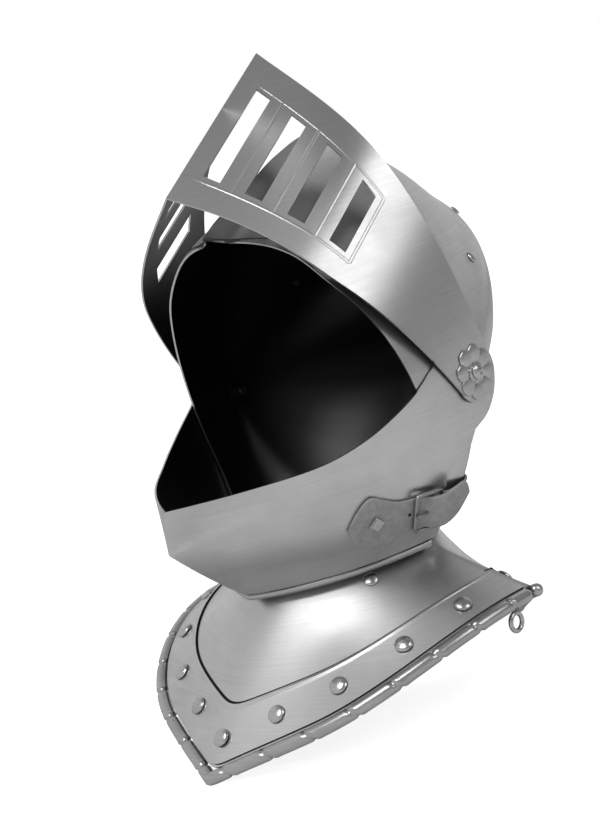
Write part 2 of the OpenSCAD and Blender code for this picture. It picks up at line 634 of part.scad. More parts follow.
module gorget_front_plate() color(steel) difference() {
  grid_solid(grid_offset(front_grid, 0), grid_offset(front_grid, -plate_t));
  plate_places("bevor", front_rivet_ts, rivet_v) shank_hole();
  plate_places("bevor", front_neck_ts, neck_rivet_v) shank_hole();
}
module gorget_back_plate() color(steel) difference() {
  grid_solid(grid_offset(back_grid, 0), grid_offset(back_grid, -plate_t));
  plate_places("skull", back_rivet_ts, rivet_v) shank_hole();
}
// The strip lies a little off the plate, whose curve it follows in longer steps
strip_gap = 0.15;
module border_strip(kind, ts, rivet_ts) {
  g = plate_grid(kind, ts, strip_vs);
  difference() {
    grid_solid(grid_offset(g, strip_gap + strip_t), grid_offset(g, strip_gap));
    plate_places(kind, rivet_ts, rivet_v) shank_hole();
  }
}
module gorget_front_strip() color(steel) border_strip("bevor", front_ts, front_rivet_ts);
module gorget_back_strip() color(steel) border_strip("skull", strip_back_ts, back_rivet_ts);

module strip_rivets(kind, ts) plate_places(kind, ts, rivet_v) translate([0, 0, strip_t + strip_gap + 0.3])
  rivet(rivet_r, rivet_h, plate_t + strip_t + 1.4);
module front_strip_rivets() color(bright) strip_rivets("bevor", front_rivet_ts);
module back_strip_rivets() color(bright) strip_rivets("skull", back_rivet_ts);
module front_neck_rivets() color(bright) plate_places("bevor", front_neck_ts, neck_rivet_v)
  translate([0, 0, 0.1]) rivet(small_rivet_r + 0.9, small_rivet_h, plate_t + 0.4);

// Rolled rims, pinched at even steps into short segments
rim_rings = 5;
rim_front_end = 87;
rim_back_start = 91;
module rolled_rim(from, to) {
  total = 2 * crimp_count * rim_rings;
  ts = [for (i = [0 : total]) lerp(from, to, i / total)];
  path = [for (t = ts) let (q = rim_point(t, 0)) place(q[0], q[1], q[2])];
  radii = [for (i = [0 : total]) rim_r - (i == 0 || i == total ? 1.5 : i % rim_rings == 0 ? crimp_h : 0)];
  intersection() {
    tube(path, radii);
    translate([-big, -big, 0]) cube(2 * big);
  }
}
module gorget_front_rim() color(steel) rolled_rim(-rim_front_end, rim_front_end);
module gorget_back_rim() color(steel) rolled_rim(rim_back_start, 360 - rim_back_start);

// Small wire loops under the front rim's two ends
loop_r = 5;
loop_wire_r = 1.4;
loop_deg = 82;
module shoulder_loops() color(bright) for (s = [-1, 1]) let (q = rim_point(s * loop_deg, 0))
  translate(place(q[0], q[1], q[2] - rim_r - loop_r - loop_wire_r - rest_gap)) rotate([90, 0, 90])
    rotate_extrude($fn = 48) translate([loop_r, 0]) circle(r = loop_wire_r, $fn = 20);

// Strap and buckle, on the wearer's left only

// Distance from the middle plane to a shell at f and u, by halving
function shell_x(kind, f, u, lo = 0, hi = 120, k = 0) = k == 18 ? (lo + hi) / 2 :
  let (mid = (lo + hi) / 2) shell_level(kind, mid, f, u) > 0 ? shell_x(kind, f, u, lo, mid, k + 1)
    : shell_x(kind, f, u, mid, hi, k + 1);
function shell_out(kind, f, u) = let (d = 2)
  unit(place(1, (shell_x(kind, f - d, u) - shell_x(kind, f + d, u)) / (2 * d),
    (shell_x(kind, f, u - d) - shell_x(kind, f, u + d)) / (2 * d)) - place(0, 0, 0));
// A place that stands a distance off a shell
function off_shell(kind, f, u, d) = place(shell_x(kind, f, u), f, u) + d * shell_out(kind, f, u);

strap_mid = -strap_drop;
front_bar_f = 48.8;
rear_bar_f = front_bar_f - buckle_l;
strap_end_f = 18;
leaf_f = 71;
// How far the loose end turns up behind the buckle
tail_rise = 5;
// The strap's two edges, from its loose end to the leaf that is riveted down
strap_high = [for (p = curve([[strap_end_f, tail_rise + 3], [strap_end_f + 3, strap_w / 2 + tail_rise],
  [strap_end_f + 9, strap_w / 2 + tail_rise * 0.7], [rear_bar_f + 5, strap_w / 2], [44, strap_w / 2 - 0.3],
  [58, strap_w / 2], [leaf_f - 4, leaf_w / 2 - 3], [leaf_f + 5, leaf_w / 2], [leaf_f + 11, leaf_w / 4],
  [leaf_f + 13.5, -1.5]], 4)) [p[0], strap_mid + p[1]]];
strap_low = [for (p = curve([[strap_end_f, tail_rise + 2], [strap_end_f + 6, 1 + tail_rise - strap_w / 2],
  [strap_end_f + 12, tail_rise / 3 - strap_w / 2], [rear_bar_f + 6, -strap_w / 2], [46, -strap_w / 2],
  [54, 3.5 - leaf_w / 2], [leaf_f - 9, -leaf_w / 2 - 1.5], [leaf_f + 1, -leaf_w / 2],
  [leaf_f + 9, -leaf_w / 4 - 2], [leaf_f + 13.5, -2.5]], 4)) [p[0], strap_mid + p[1]]];
// Height of the strap over the bevor: flat under the front bar, then up and over the rear bar
rear_bar_off = 3.6;
fold_t = 1.5;
fold_r = wire_r + 0.15;
over_bar = rear_bar_off + fold_r + fold_t + rest_gap + 0.7;
strap_off = [[strap_end_f, over_bar + 0.8], [rear_bar_f - 3, over_bar + 0.1], [rear_bar_f + 1, over_bar],
  [rear_bar_f + 4, over_bar - 1.3], [front_bar_f - 4, rest_gap + 0.5], [front_bar_f - 2, rest_gap],
  [leaf_f + 20, rest_gap]];
strap_fs = concat([strap_end_f, strap_end_f + 1.5, strap_end_f + 3.5], [for (f = [24 : 4.5 : 78]) f],
  [leaf_f + 10, leaf_f + 12.5]);

function strap_spot(f, w, lift) = let (u = lerp(lookup(f, strap_low), lookup(f, strap_high), w))
  off_shell("bevor", f, u, lookup(f, strap_off) + lift);
strap_hole_f = [front_bar_f + 3, front_bar_f - 8];
strap_hole_r = 1.1;
tongue_slit_r = 3;

function strap_grid(lift) = [for (f = strap_fs) [for (w = [0 : 0.25 : 1]) strap_spot(f, w, lift)]];
module at_strap(f, u, off) translate(off_shell("bevor", f, u, off))
  along(shell_out("bevor", f, u)) children();
module front_strap() color(leather) difference() {
  grid_solid(strap_grid(strap_t), strap_grid(0));
  strap_rivet_place() shank_hole();
  at_strap(strap_hole_f[0], strap_mid, 0) cylinder(h = hole_h, r = strap_hole_r, center = true, $fn = 24);
  at_strap(strap_hole_f[1], strap_mid, 0) cylinder(h = hole_h, r = tongue_slit_r, center = true, $fn = 24);
}
module strap_rivet_place() at_strap(leaf_f, strap_mid, rest_gap) children();
// A square-headed rivet through the leaf and the bevor
square_w = 6.6;
module strap_rivet() color(bright) strap_rivet_place() {
  translate([0, 0, strap_t + rest_gap]) rotate([0, 0, 45]) {
    translate([-square_w / 2, -square_w / 2, 0]) cube([square_w, square_w, 1.2]);
    translate([-square_w / 2 + 0.8, -square_w / 2 + 0.8, 1.2]) cube([square_w - 1.6, square_w - 1.6, 0.5]);
  }
  translate([0, 0, -plate_t - 1.6]) cylinder(h = plate_t + strap_t + 2.4, r = shank_r, $fn = 24);
}

// The buckle's own frame: x along the strap from the rear bar to the front bar,
// y along the bars and z outward
front_bar = off_shell("bevor", front_bar_f, strap_mid, rest_gap + strap_t + rest_gap + wire_r);
rear_bar = off_shell("bevor", rear_bar_f, strap_mid, rear_bar_off);
bar_x = unit(front_bar - rear_bar);
bar_out = shell_out("bevor", (front_bar_f + rear_bar_f) / 2, strap_mid);
bar_z = unit(bar_out - (bar_out * bar_x) * bar_x);
bar_y = cross(bar_z, bar_x);
bar_gap = norm(front_bar - rear_bar);
module in_buckle() multmatrix(concat([for (i = [0 : 2]) [bar_x[i], bar_y[i], bar_z[i], rear_bar[i]]],
  [[0, 0, 0, 1]])) children();

corner_r = 2.5;
module wire(from, to) translate(from) along(to - from) cylinder(h = norm(to - from), r = wire_r, $fn = 24);
module corner(place_at, turn) translate(place_at) rotate([0, 0, turn]) rotate_extrude(angle = 90, $fn = 48)
  translate([corner_r, 0]) circle(r = wire_r, $fn = 24);
module buckle_frame() color(bright) in_buckle() {
  y = buckle_h / 2;
  c = corner_r;
  wire([0, -y + c, 0], [0, y - c, 0]);
  wire([bar_gap, -y + c, 0], [bar_gap, y - c, 0]);
  for (s = [-1, 1]) wire([c, s * y, 0], [bar_gap - c, s * y, 0]);
  corner([bar_gap - c, y - c, 0], 0);
  corner([c, y - c, 0], 90);
  corner([c, -y + c, 0], 180);
  corner([bar_gap - c, -y + c, 0], 270);
}

// The tongue turns on the rear bar, lies under the strap and comes up through its hole
tongue_r = 0.9;
eye_w = 2.4;
eye_t = 0.9;
tongue_fit = 0.06;
module buckle_tongue() color(bright) in_buckle() {
  difference() {
    rotate([90, 0, 0]) cylinder(h = eye_w, r = wire_r + tongue_fit + eye_t, center = true, $fn = 40);
    rotate([90, 0, 0]) cylinder(h = eye_w + 2, r = wire_r + tongue_fit, center = true, $fn = 40);
  }
  tube([[wire_r + tongue_fit + eye_t / 2, 0, 0], [4, 0, -0.3], [6.5, 0, -0.7], [8.7, 0, -0.3],
    [10.5, 0, 0.9], [12.2, 0, 2], [bar_gap - 2, 0, wire_r + tongue_r + 0.35],
    [bar_gap + 1.8, 0, wire_r + tongue_r + 0.35]], [0.75, 0.9, 0.9, 0.9, 0.9, 0.9, 0.9, 0.6]);
}

// The rear strap folds round the rear bar and is riveted to the skull's nape
rear_strap_w = buckle_h - 2 * wire_r - 2;
nape_f = -19;
rear_fs = [for (i = [0 : 9]) lerp(nape_f - 8, rear_bar_f - 1.5, i / 9)];
function rear_spot(f, w, lift) = let (u = strap_mid + (w - 0.5) * rear_strap_w,
  near = smooth((f - 2) / (rear_bar_f - 12)))
  off_shell("skull", f, u, 2 * rest_gap + lift + near * 4.2);
function rear_grid(lift) = [for (f = rear_fs) [for (w = [0 : 0.25 : 1]) rear_spot(f, w, lift)]];
module rear_strap_rivet_place() translate(off_shell("skull", nape_f, strap_mid, 2 * rest_gap))
  along(shell_out("skull", nape_f, strap_mid)) children();
module rear_strap() color(leather) difference() {
  union() {
    grid_solid(rear_grid(fold_t), rear_grid(0));
    in_buckle() rotate([90, 0, 0]) cylinder(h = rear_strap_w, r = fold_r + fold_t, center = true, $fn = 48);
  }
  in_buckle() rotate([90, 0, 0]) cylinder(h = rear_strap_w + 2, r = fold_r, center = true, $fn = 48);
  in_buckle() translate([-3, -eye_w / 2 - 0.5, -6]) cube([9, eye_w + 1, 12]);
  rear_strap_rivet_place() shank_hole();
}
module rear_strap_rivet() color(bright) rear_strap_rivet_place() translate([0, 0, fold_t + 0.1])
  rivet(small_rivet_r, small_rivet_h, fold_t + plate_t + 1.6);

skull();
skull_rivets();
pivot_screws();
pivot_nuts();
nut_washers();
gorget_back_plate();
gorget_back_rim();
gorget_back_strip();
back_strip_rivets();
buckle_frame();
buckle_tongue();
rear_strap();
rear_strap_rivet();
bevor();
bevor_bead();
gorget_front_plate();
gorget_front_rim();
gorget_front_strip();
front_strip_rivets();
front_neck_rivets();
shoulder_loops();
front_strap();
strap_rivet();
visor();
rosette_left();
rosette_right();
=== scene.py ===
import json
import math

import bpy
import numpy as np
from mathutils import Matrix, Vector


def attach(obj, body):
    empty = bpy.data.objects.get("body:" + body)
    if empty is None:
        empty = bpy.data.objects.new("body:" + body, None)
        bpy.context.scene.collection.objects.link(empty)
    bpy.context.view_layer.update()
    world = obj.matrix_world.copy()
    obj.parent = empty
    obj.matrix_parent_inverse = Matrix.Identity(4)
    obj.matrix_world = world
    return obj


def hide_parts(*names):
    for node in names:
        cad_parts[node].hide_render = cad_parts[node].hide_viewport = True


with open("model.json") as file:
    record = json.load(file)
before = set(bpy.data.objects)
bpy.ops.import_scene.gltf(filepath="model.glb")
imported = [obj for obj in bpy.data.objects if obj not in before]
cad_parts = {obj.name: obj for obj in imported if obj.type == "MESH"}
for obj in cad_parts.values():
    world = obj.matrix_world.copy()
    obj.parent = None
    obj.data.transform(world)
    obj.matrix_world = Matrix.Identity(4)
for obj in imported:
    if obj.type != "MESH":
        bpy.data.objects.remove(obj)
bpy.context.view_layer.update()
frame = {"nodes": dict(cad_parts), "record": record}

# Sizes of the armet in millimetres. Shapes are set out from the pivot axis in
# x (to the wearer's left), f (forward of the pivots) and u (above them).

# Where the pivots stand in the row frame, and how far the helmet leans back on its gorget
PIVOT_Y = 30.25
PIVOT_Z = 177.4046
TILT = math.radians(6.2)

# The plate's thickness, and the gaps under pieces that are seated, that rest and that slide
PLATE = 1.2
SEAT_GAP = 0.05
REST_GAP = 0.3
SLIDE_GAP = 0.6

SKULL_W = 98.4
BROW_R, CROWN_R, POLL_R, BACK_R, NAPE_R, FOOT_R = 131.0, 144.5, 139.7, 90.5, 72.0, 134.0
COMB_H, COMB_W = 8.0, 14.0

BEVOR_W = 100.2
BEVOR_R = 141.0
CHIN_H, LIP_H, KEEL_W, CHIN_DEG = 33.0, 23.0, 77.0, 22.0
BEVOR_REAR_F = 26.0
BEAD_R = 2.2
BEAD_END = 84.0
NECK_F, NECK_DROP, NECK_SLOPE = 22.0, 87.0, 0.155
NECK_LAP = 7.0

VISOR_W, VISOR_A, VISOR_N = 102.0, 148.5, 2.25
VISOR_KEEL_H, VISOR_KEEL_W = 22.5, 65.0
VISOR_FWD = VISOR_A + VISOR_KEEL_H
VISOR_RAISE = math.radians(50.4)
VISOR_EAR_R = 17.5
VISOR_LOW, VISOR_LOW_KEEL, VISOR_LOW_FROM, VISOR_LOW_RUN = 17.0, 8.0, 95.0, 65.0
VISOR_TOP, VISOR_TOP_RISE, VISOR_TOP_BEND = 18.0, 0.34, 0.00113
SLOT_COUNT, SLOT_W, SLOT_FIRST, SLOT_PITCH = 4, 11.0, 18.0, 27.3
SLOT_LOW, SLOT_SLOPE, SLOT_FRONT, SLOT_TOP_MARGIN = 13.2, 0.2, 9.0, 21.0
LINE_W, LINE_H, LINE_SUNK, LINE_MARGIN = 2.0, 0.2, 0.5, 3.6

GORGET_FRONT, GORGET_BACK, GORGET_W = 166.0, 114.0, 128.0
GORGET_KEEL_H, GORGET_KEEL_W = 14.0, 60.0
SHOULDER_DROP, FRONT_DROP, BACK_DROP = 126.0, 193.1, 164.0
RIM_R, RIM_F, FLARE, RIM_GAP = 4.0, 2.0, 1.15, 0.8
STRIP_START, STRIP_END, STRIP_T = 0.66, 0.985, 0.9


# Mesh helpers

def place(x, f, u):
    """Row-frame metres of a place that is x left, f forward of and u above the pivots, in mm.

    The helmet's own frame leans back about the pivots by TILT."""
    c, s = math.cos(TILT), math.sin(TILT)
    return np.stack(np.broadcast_arrays(x, PIVOT_Y - f * c + u * s, PIVOT_Z + f * s + u * c), -1) / 1000.0


def smooth(u):
    """Rises from 0 to 1 with level ends: 3u^2 - 2u^3, with u held between 0 and 1."""
    c = np.clip(u, 0.0, 1.0)
    return c * c * (3 - 2 * c)


def spow(v, e):
    """v to the power e, keeping v's sign."""
    return np.sign(v) * np.abs(v) ** e


def bump(x, w):
    """A crease that falls from 1 at the middle to 0 at w: (1 - |x| / w)^2."""
    return np.clip(1 - np.abs(x) / w, 0, None) ** 2


def span(a, b, c, d, t):
    """One span of a curve through b and c whose slopes come from the points on either side."""
    return 0.5 * (2 * b + (c - a) * t + (2 * a - 5 * b + 4 * c - d) * t * t
                  + (3 * b - a - 3 * c + d) * t ** 3)


def curve(points, steps=12):
    """A smooth open line through the points, with a number of steps in each span."""
    p = np.asarray(points, float)
    p = np.vstack([p[:1], p, p[-1:]])
    t = (np.arange(steps) / steps)[:, None]
    parts = [span(p[i], p[i + 1], p[i + 2], p[i + 3], t) for i in range(len(p) - 3)]
    return np.vstack(parts + [p[-1:]])


def ring_radius(radii, deg):
    """A smooth closed ring of radii that are evenly spaced round 360 degrees."""
    v = np.asarray(radii, float)
    q = np.mod(deg, 360.0) * len(v) / 360.0
    i = np.floor(q).astype(int)
    n = len(v)
    return span(v[(i - 1) % n], v[i % n], v[(i + 1) % n], v[(i + 2) % n], q - i)


def grid_quads(rows, cols):
    """Corner numbers of the four-sided faces between the rows and columns of a grid."""
    i, j = np.meshgrid(np.arange(rows - 1), np.arange(cols - 1), indexing="ij")
    a = (i * cols + j).ravel()
    return np.stack([a, a + 1, a + cols + 1, a + cols], -1)


def merged(verts, quads, step=1e-6):
    """Joins the points that lie together, and drops faces that have no area left."""
    key = np.round(verts / step).astype(np.int64)
    _, first, back = np.unique(key, axis=0, return_index=True, return_inverse=True)
    back = back.ravel()
    quads = back[quads]
    rolled = np.roll(quads, -1, axis=1)
    return verts[first], quads[(quads != rolled).sum(1) >= 3]


def face_normals(verts, quads):
    """Cross product of each face's two diagonals."""
    a, b, c, d = (verts[quads[:, k]] for k in range(4))
    return np.cross(c - a, d - b)


def vertex_normals(verts, quads):
    """The area-weighted mean of the faces round each point, at unit length."""
    n = face_normals(verts, quads)
    total = np.zeros_like(verts)
    for k in range(4):
        np.add.at(total, quads[:, k], n)
    return total / np.maximum(np.linalg.norm(total, axis=1, keepdims=True), 1e-12)


def turned_out(verts, quads, centre):
    """Reverses the faces if most of them look towards the centre."""
    n = face_normals(verts, quads)
    away = verts[quads].mean(1) - np.asarray(centre)
    return quads[:, ::-1] if (n * away).sum() < 0 else quads


def thickened(verts, quads, depth):
    """A closed plate: the surface, a copy that lies depth behind it, and walls round every open edge.

    Returns the points, the faces and a number for each face: 0 in front and on the walls, 1 behind."""
    n = vertex_normals(verts, quads)
    count = len(verts)
    edges = np.vstack([quads[:, [k, (k + 1) % 4]] for k in range(4)])
    edges = edges[edges[:, 0] != edges[:, 1]]
    key = np.sort(edges, axis=1)
    _, first, used = np.unique(key, axis=0, return_index=True, return_counts=True)
    rim = edges[first[used == 1]]
    walls = np.stack([rim[:, 1], rim[:, 0], rim[:, 0] + count, rim[:, 1] + count], -1)
    faces = np.vstack([quads, quads[:, ::-1] + count, walls])
    kind = np.concatenate([np.zeros(len(quads)), np.ones(len(quads)), np.zeros(len(walls))]).astype(int)
    return np.vstack([verts, verts - n * depth]), faces, kind


def make_piece(name, verts, quads, materials, body, replaces=(), kind=None, sharp=32.0):
    """A mesh object at the origin, smooth but for edges sharper than a number of degrees."""
    mesh = bpy.data.meshes.new(name)
    faces = [tuple(dict.fromkeys(q)) for q in quads.tolist()]
    mesh.from_pydata(verts.tolist(), [], faces)
    mesh.update()
    mesh.polygons.foreach_set("use_smooth", np.ones(len(mesh.polygons), bool))
    for material in materials:
        mesh.materials.append(material)
    if kind is not None:
        mesh.polygons.foreach_set("material_index", np.asarray(kind, np.int32))
    mesh.set_sharp_from_angle(angle=math.radians(sharp))
    piece = bpy.data.objects.new(name, mesh)
    bpy.context.scene.collection.objects.link(piece)
    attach(piece, body)
    if replaces:
        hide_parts(*replaces)


def joined(parts):
    """Puts several (points, faces) pairs into one."""
    verts, quads, count = [], [], 0
    for v, q in parts:
        verts.append(v)
        quads.append(q + count)
        count += len(v)
    return np.vstack(verts), np.vstack(quads)


def tube(path, radius, sides=20):
    """A round tube whose middle follows the path, with both ends closed.

    Each ring is side cos q + up sin q, times the radius, which is one number or an array (points, sides)."""
    step = np.gradient(path, axis=0)
    step /= np.linalg.norm(step, axis=1, keepdims=True)
    side = np.cross(step, [0, 0, 1.0])
    side /= np.linalg.norm(side, axis=1, keepdims=True)
    up = np.cross(side, step)
    turn = np.linspace(0, 2 * np.pi, sides, endpoint=False)
    r = np.broadcast_to(np.asarray(radius, float), (len(path), sides))
    ring = side[:, None] * np.cos(turn)[None, :, None] + up[:, None] * np.sin(turn)[None, :, None]
    grid = path[:, None] + ring * r[..., None]
    grid = np.concatenate([grid, grid[:, :1]], 1)
    ends = [np.repeat(path[k][None, None], sides + 1, 1) for k in (0, -1)]
    grid = np.concatenate([ends[0], grid, ends[1]])
    verts, quads = merged(grid.reshape(-1, 3), grid_quads(*grid.shape[:2]))
    marks = path[::max(1, len(path) // 60)]
    centres = verts[quads].mean(1)
    near = marks[np.abs(centres[:, None] - marks[None]).sum(-1).argmin(1)]
    flip = (face_normals(verts, quads) * (centres - near)).sum() < 0
    return verts, quads[:, ::-1] if flip else quads


def closed_sweep(grid):
    """A solid from a row of loops, each closed on itself, with both ends drawn together."""
    sides = grid.shape[1]
    grid = grid.copy()
    grid[:, -1] = grid[:, 0]
    ends = [np.repeat(grid[k, :-1].mean(0)[None, None], sides, 1) for k in (0, -1)]
    grid = np.concatenate([ends[0], grid, ends[1]])
    verts, quads = merged(grid.reshape(-1, 3), grid_quads(*grid.shape[:2]), 1e-7)
    middle = grid.mean(1)
    centres = verts[quads].mean(1)
    near = np.abs(centres[:, None] - middle[None]).sum(-1).argmin(1)
    flip = (face_normals(verts, quads) * (centres - middle[near])).sum() < 0
    return verts, quads[:, ::-1] if flip else quads


def turned(profile, places, normals, sides=28):
    """A profile of (radius, height) pairs turned about each normal, at each place, in metres."""
    profile = np.asarray(profile, float)
    turn = np.linspace(0, 2 * np.pi, sides + 1)
    parts = []
    for at, n in zip(places, normals):
        n = n / np.linalg.norm(n)
        e = np.cross(n, [0, 0, 1.0]) if abs(n[2]) < 0.9 else np.cross(n, [0, 1.0, 0])
        e /= np.linalg.norm(e)
        g = np.cross(n, e)
        ring = e * np.cos(turn)[:, None] + g * np.sin(turn)[:, None]
        grid = at + profile[:, None, :1] * ring[None] + profile[:, None, 1:] * n
        grid[:, -1] = grid[:, 0]
        v, q = merged(grid.reshape(-1, 3), grid_quads(len(profile), sides + 1), 1e-7)
        parts.append((v, turned_out(v, q, at)))
    return joined(parts)


# Domed shells round the pivot axis: radius in side view times a fade to nothing at the two pivots

# The skull's side-view radii, 15 degrees apart, the first one 20 degrees above the forward direction
SKULL_RADII = [BROW_R, BROW_R - 1, BROW_R - 2, BROW_R - 4, CROWN_R - 9.5, CROWN_R, CROWN_R - 3.5,
               POLL_R - 2.5, POLL_R, (POLL_R + BACK_R) / 2 + 2, BACK_R, NAPE_R + 5, NAPE_R, NAPE_R,
               NAPE_R + 4, NAPE_R + 13, FOOT_R - 35, FOOT_R - 17.5, FOOT_R - 2, FOOT_R + 1, FOOT_R,
               FOOT_R, FOOT_R - 1, BROW_R + 1]


def skull_side(deg):
    """Side-view radius of the skull at an angle above the forward direction."""
    return ring_radius(SKULL_RADII, deg - 20)


def skull_square(deg):
    """Exponent of the skull's section: 2 is an ellipse, and less is more pointed, as it is behind."""
    q = np.mod(deg, 360.0)
    return 2 - 0.3 * smooth((q - 60) / 60) * (1 - smooth((q - 257) / 20))


def skull_reach(x, deg):
    """Distance from the pivot axis to the skull at x and an angle.

    The side-view radius times (1 - |x / width|^n)^(1/n), plus the comb's crease."""
    n = skull_square(deg)
    fade = np.clip(1 - (np.abs(x) / SKULL_W) ** n, 0, None) ** (1 / n)
    return skull_side(deg) * fade + COMB_H * bump(x, COMB_W)


def keel_height(deg):
    """How far the bevor's keel stands out: straight from lip to chin, dying away under the throat."""
    q = np.mod(deg + 180, 360.0) - 180
    above = CHIN_H + (LIP_H - CHIN_H) * np.clip((q + CHIN_DEG) / 7.6, None, 1.8)
    below = CHIN_H * np.clip(1 + (q + CHIN_DEG) / 62, 0, None) ** 3
    return np.clip(np.where(q > -CHIN_DEG, above, below), 0, None)


def bevor_reach(x, deg):
    """Distance from the pivot axis to the bevor: radius times sqrt(1 - (x / width)^2), plus its keel."""
    fade = np.sqrt(np.clip(1 - (x / BEVOR_W) ** 2, 0, None))
    return BEVOR_R * fade + keel_height(deg) * bump(x, KEEL_W)


def shell_x(reach, width, f, u):
    """Distance from the middle plane to a shell at f and u, by halving."""
    f, u = np.broadcast_arrays(np.asarray(f, float), np.asarray(u, float))
    deg = np.degrees(np.arctan2(u, f))
    r = np.hypot(f, u)
    low, high = np.zeros(f.shape), np.full(f.shape, float(width))
    for _ in range(40):
        middle = (low + high) / 2
        outside = r > reach(middle, deg)
        low, high = np.where(outside, low, middle), np.where(outside, middle, high)
    return (low + high) / 2


def ray_reach(outline, centre, angles):
    """Distance from the centre to the nearest stretch of an outline, along each angle."""
    a, b = outline[:-1] - centre, outline[1:] - centre
    d = np.stack([np.cos(angles), np.sin(angles)], -1)
    e = b - a
    cross = d[:, None, 0] * e[None, :, 1] - d[:, None, 1] * e[None, :, 0]
    cross = np.where(np.abs(cross) < 1e-12, 1e-12, cross)
    s = (a[None, :, 0] * e[None, :, 1] - a[None, :, 1] * e[None, :, 0]) / cross
    t = (a[None, :, 0] * d[:, None, 1] - a[None, :, 1] * d[:, None, 0]) / cross
    hit = np.where((t >= -1e-9) & (t <= 1 + 1e-9) & (s > 0), s, np.inf)
    return hit.min(1)


def ridge_reach(reach, centre, angles):
    """Distance from the centre to the shell's outline in the middle plane, along each angle."""
    d = np.stack([np.cos(angles), np.sin(angles)], -1)
    low, high = np.zeros(len(angles)), np.full(len(angles), 400.0)
    for _ in range(44):
        middle = (low + high) / 2
        p = centre + d * middle[:, None]
        deg = np.degrees(np.arctan2(p[:, 1], p[:, 0]))
        inside = np.hypot(p[:, 0], p[:, 1]) < reach(np.zeros(len(angles)), deg)
        low, high = np.where(inside, middle, low), np.where(inside, high, middle)
    return (low + high) / 2


def trimmed_shell(reach, width, outline, centre, spokes, rings, extra=()):
    """Both halves of a shell, cut along an outline given in f and u.

    Spokes run from a centre, in side view, to the outline or to the middle plane, whichever is nearer.
    A spoke's points close up towards its end, where the shell turns over."""
    centre = np.asarray(centre, float)
    corners = np.vstack([outline] + ([np.asarray(extra, float)] if len(extra) else [])) - centre
    even = np.linspace(-np.pi, np.pi, spokes, endpoint=False)
    angles = np.unique(np.round(np.concatenate([even, np.arctan2(corners[:, 1], corners[:, 0])]), 5))
    edge = ray_reach(outline, centre, angles)
    ridge = ridge_reach(reach, centre, angles)
    on_ridge = ridge <= edge
    length = np.minimum(edge, ridge)
    share = np.sin(np.linspace(0, 1, rings) * np.pi / 2)
    f = centre[0] + np.outer(np.cos(angles) * length, share)
    u = centre[1] + np.outer(np.sin(angles) * length, share)
    x = shell_x(reach, width, f, u)
    x[on_ridge, -1] = 0.0
    f, u, x = (np.vstack([v, v[:1]]) for v in (f, u, x))
    quads = grid_quads(*f.shape)
    left, right = place(x, f, u).reshape(-1, 3), place(-x, f, u).reshape(-1, 3)
    verts, faces = joined([(left, quads), (right, quads[:, ::-1])])
    verts, faces = merged(verts, faces)
    return verts, turned_out(verts, faces, place(0.0, 0.0, 0.0))


# Materials

def linear(code):
    """Linear red, green, blue and alpha of an sRGB hex value."""
    c = np.array([int(code[k:k + 2], 16) for k in (1, 3, 5)]) / 255.0
    c = np.where(c <= 0.04045, c / 12.92, ((c + 0.055) / 1.055) ** 2.4)
    return (*c.tolist(), 1.0)


def add(tree, kind, settings=None, inputs=None):
    """Adds a node. An input is a value, or a (node, output) pair to link it to."""
    node = tree.nodes.new(kind)
    for key, value in (settings or {}).items():
        setattr(node, key, value)
    for key, value in (inputs or {}).items():
        if isinstance(value, tuple) and len(value) == 2 and isinstance(value[0], bpy.types.Node):
            tree.links.new(value[0].outputs[value[1]], node.inputs[key])
        else:
            node.inputs[key].default_value = value
    return node


def new_material(name):
    """A material with an empty node tree."""
    material = bpy.data.materials.new(name)
    material.use_nodes = True
    tree = material.node_tree
    tree.nodes.clear()
    return material, tree


def ramp(tree, source, stops):
    """A colour ramp: stops are (position, hex) pairs."""
    node = add(tree, "ShaderNodeValToRGB", None, {"Fac": source})
    while len(node.color_ramp.elements) < len(stops):
        node.color_ramp.elements.new(0.5)
    for element, (position, code) in zip(node.color_ramp.elements, stops):
        element.position, element.color = position, linear(code)
    return node


def brushed_steel(name, dark, light, rough, streak, grain=0.5, anisotropy=0.5, bump_depth=0.00002):
    """Mild steel plate brushed with an abrasive belt: fine level scratches that stretch a highlight upright.

    streak is the scratches' width in mm, drawn coarser than the real 0.1 mm so that it shows."""
    material, tree = new_material(name)
    where = add(tree, "ShaderNodeTexCoord")
    lines = add(tree, "ShaderNodeMapping", None, {
        "Vector": (where, "Object"), "Scale": (22.0, 22.0, 1000.0 / streak)})
    scratch = add(tree, "ShaderNodeTexNoise", None, {
        "Vector": (lines, "Vector"), "Scale": 1.0, "Detail": 3.0, "Roughness": 0.65})
    cloud = add(tree, "ShaderNodeTexNoise", None, {
        "Vector": (where, "Object"), "Scale": 28.0, "Detail": 4.0, "Roughness": 0.6})
    tone = add(tree, "ShaderNodeMix", {"data_type": "FLOAT"}, {
        "Factor": 1 - grain, 2: (scratch, "Fac"), 3: (cloud, "Fac")})
    colour = ramp(tree, (tone, 0), [(0.3, dark), (0.7, light)])
    dull = add(tree, "ShaderNodeMapRange", None, {
        "Value": (tone, 0), "From Min": 0.3, "From Max": 0.7, "To Min": rough + 0.05, "To Max": rough - 0.04})
    relief = add(tree, "ShaderNodeBump", None, {
        "Height": (scratch, "Fac"), "Strength": 0.35, "Distance": bump_depth})
    round_axis = add(tree, "ShaderNodeTangent", {"direction_type": "RADIAL", "axis": "Z"})
    shader = add(tree, "ShaderNodeBsdfPrincipled", None, {
        "Base Color": (colour, "Color"), "Roughness": (dull, "Result"), "Metallic": 1.0,
        "Anisotropic": anisotropy, "Normal": (relief, "Normal"), "Tangent": (round_axis, "Tangent")})
    add(tree, "ShaderNodeOutputMaterial", None, {"Surface": (shader, "BSDF")})
    return material


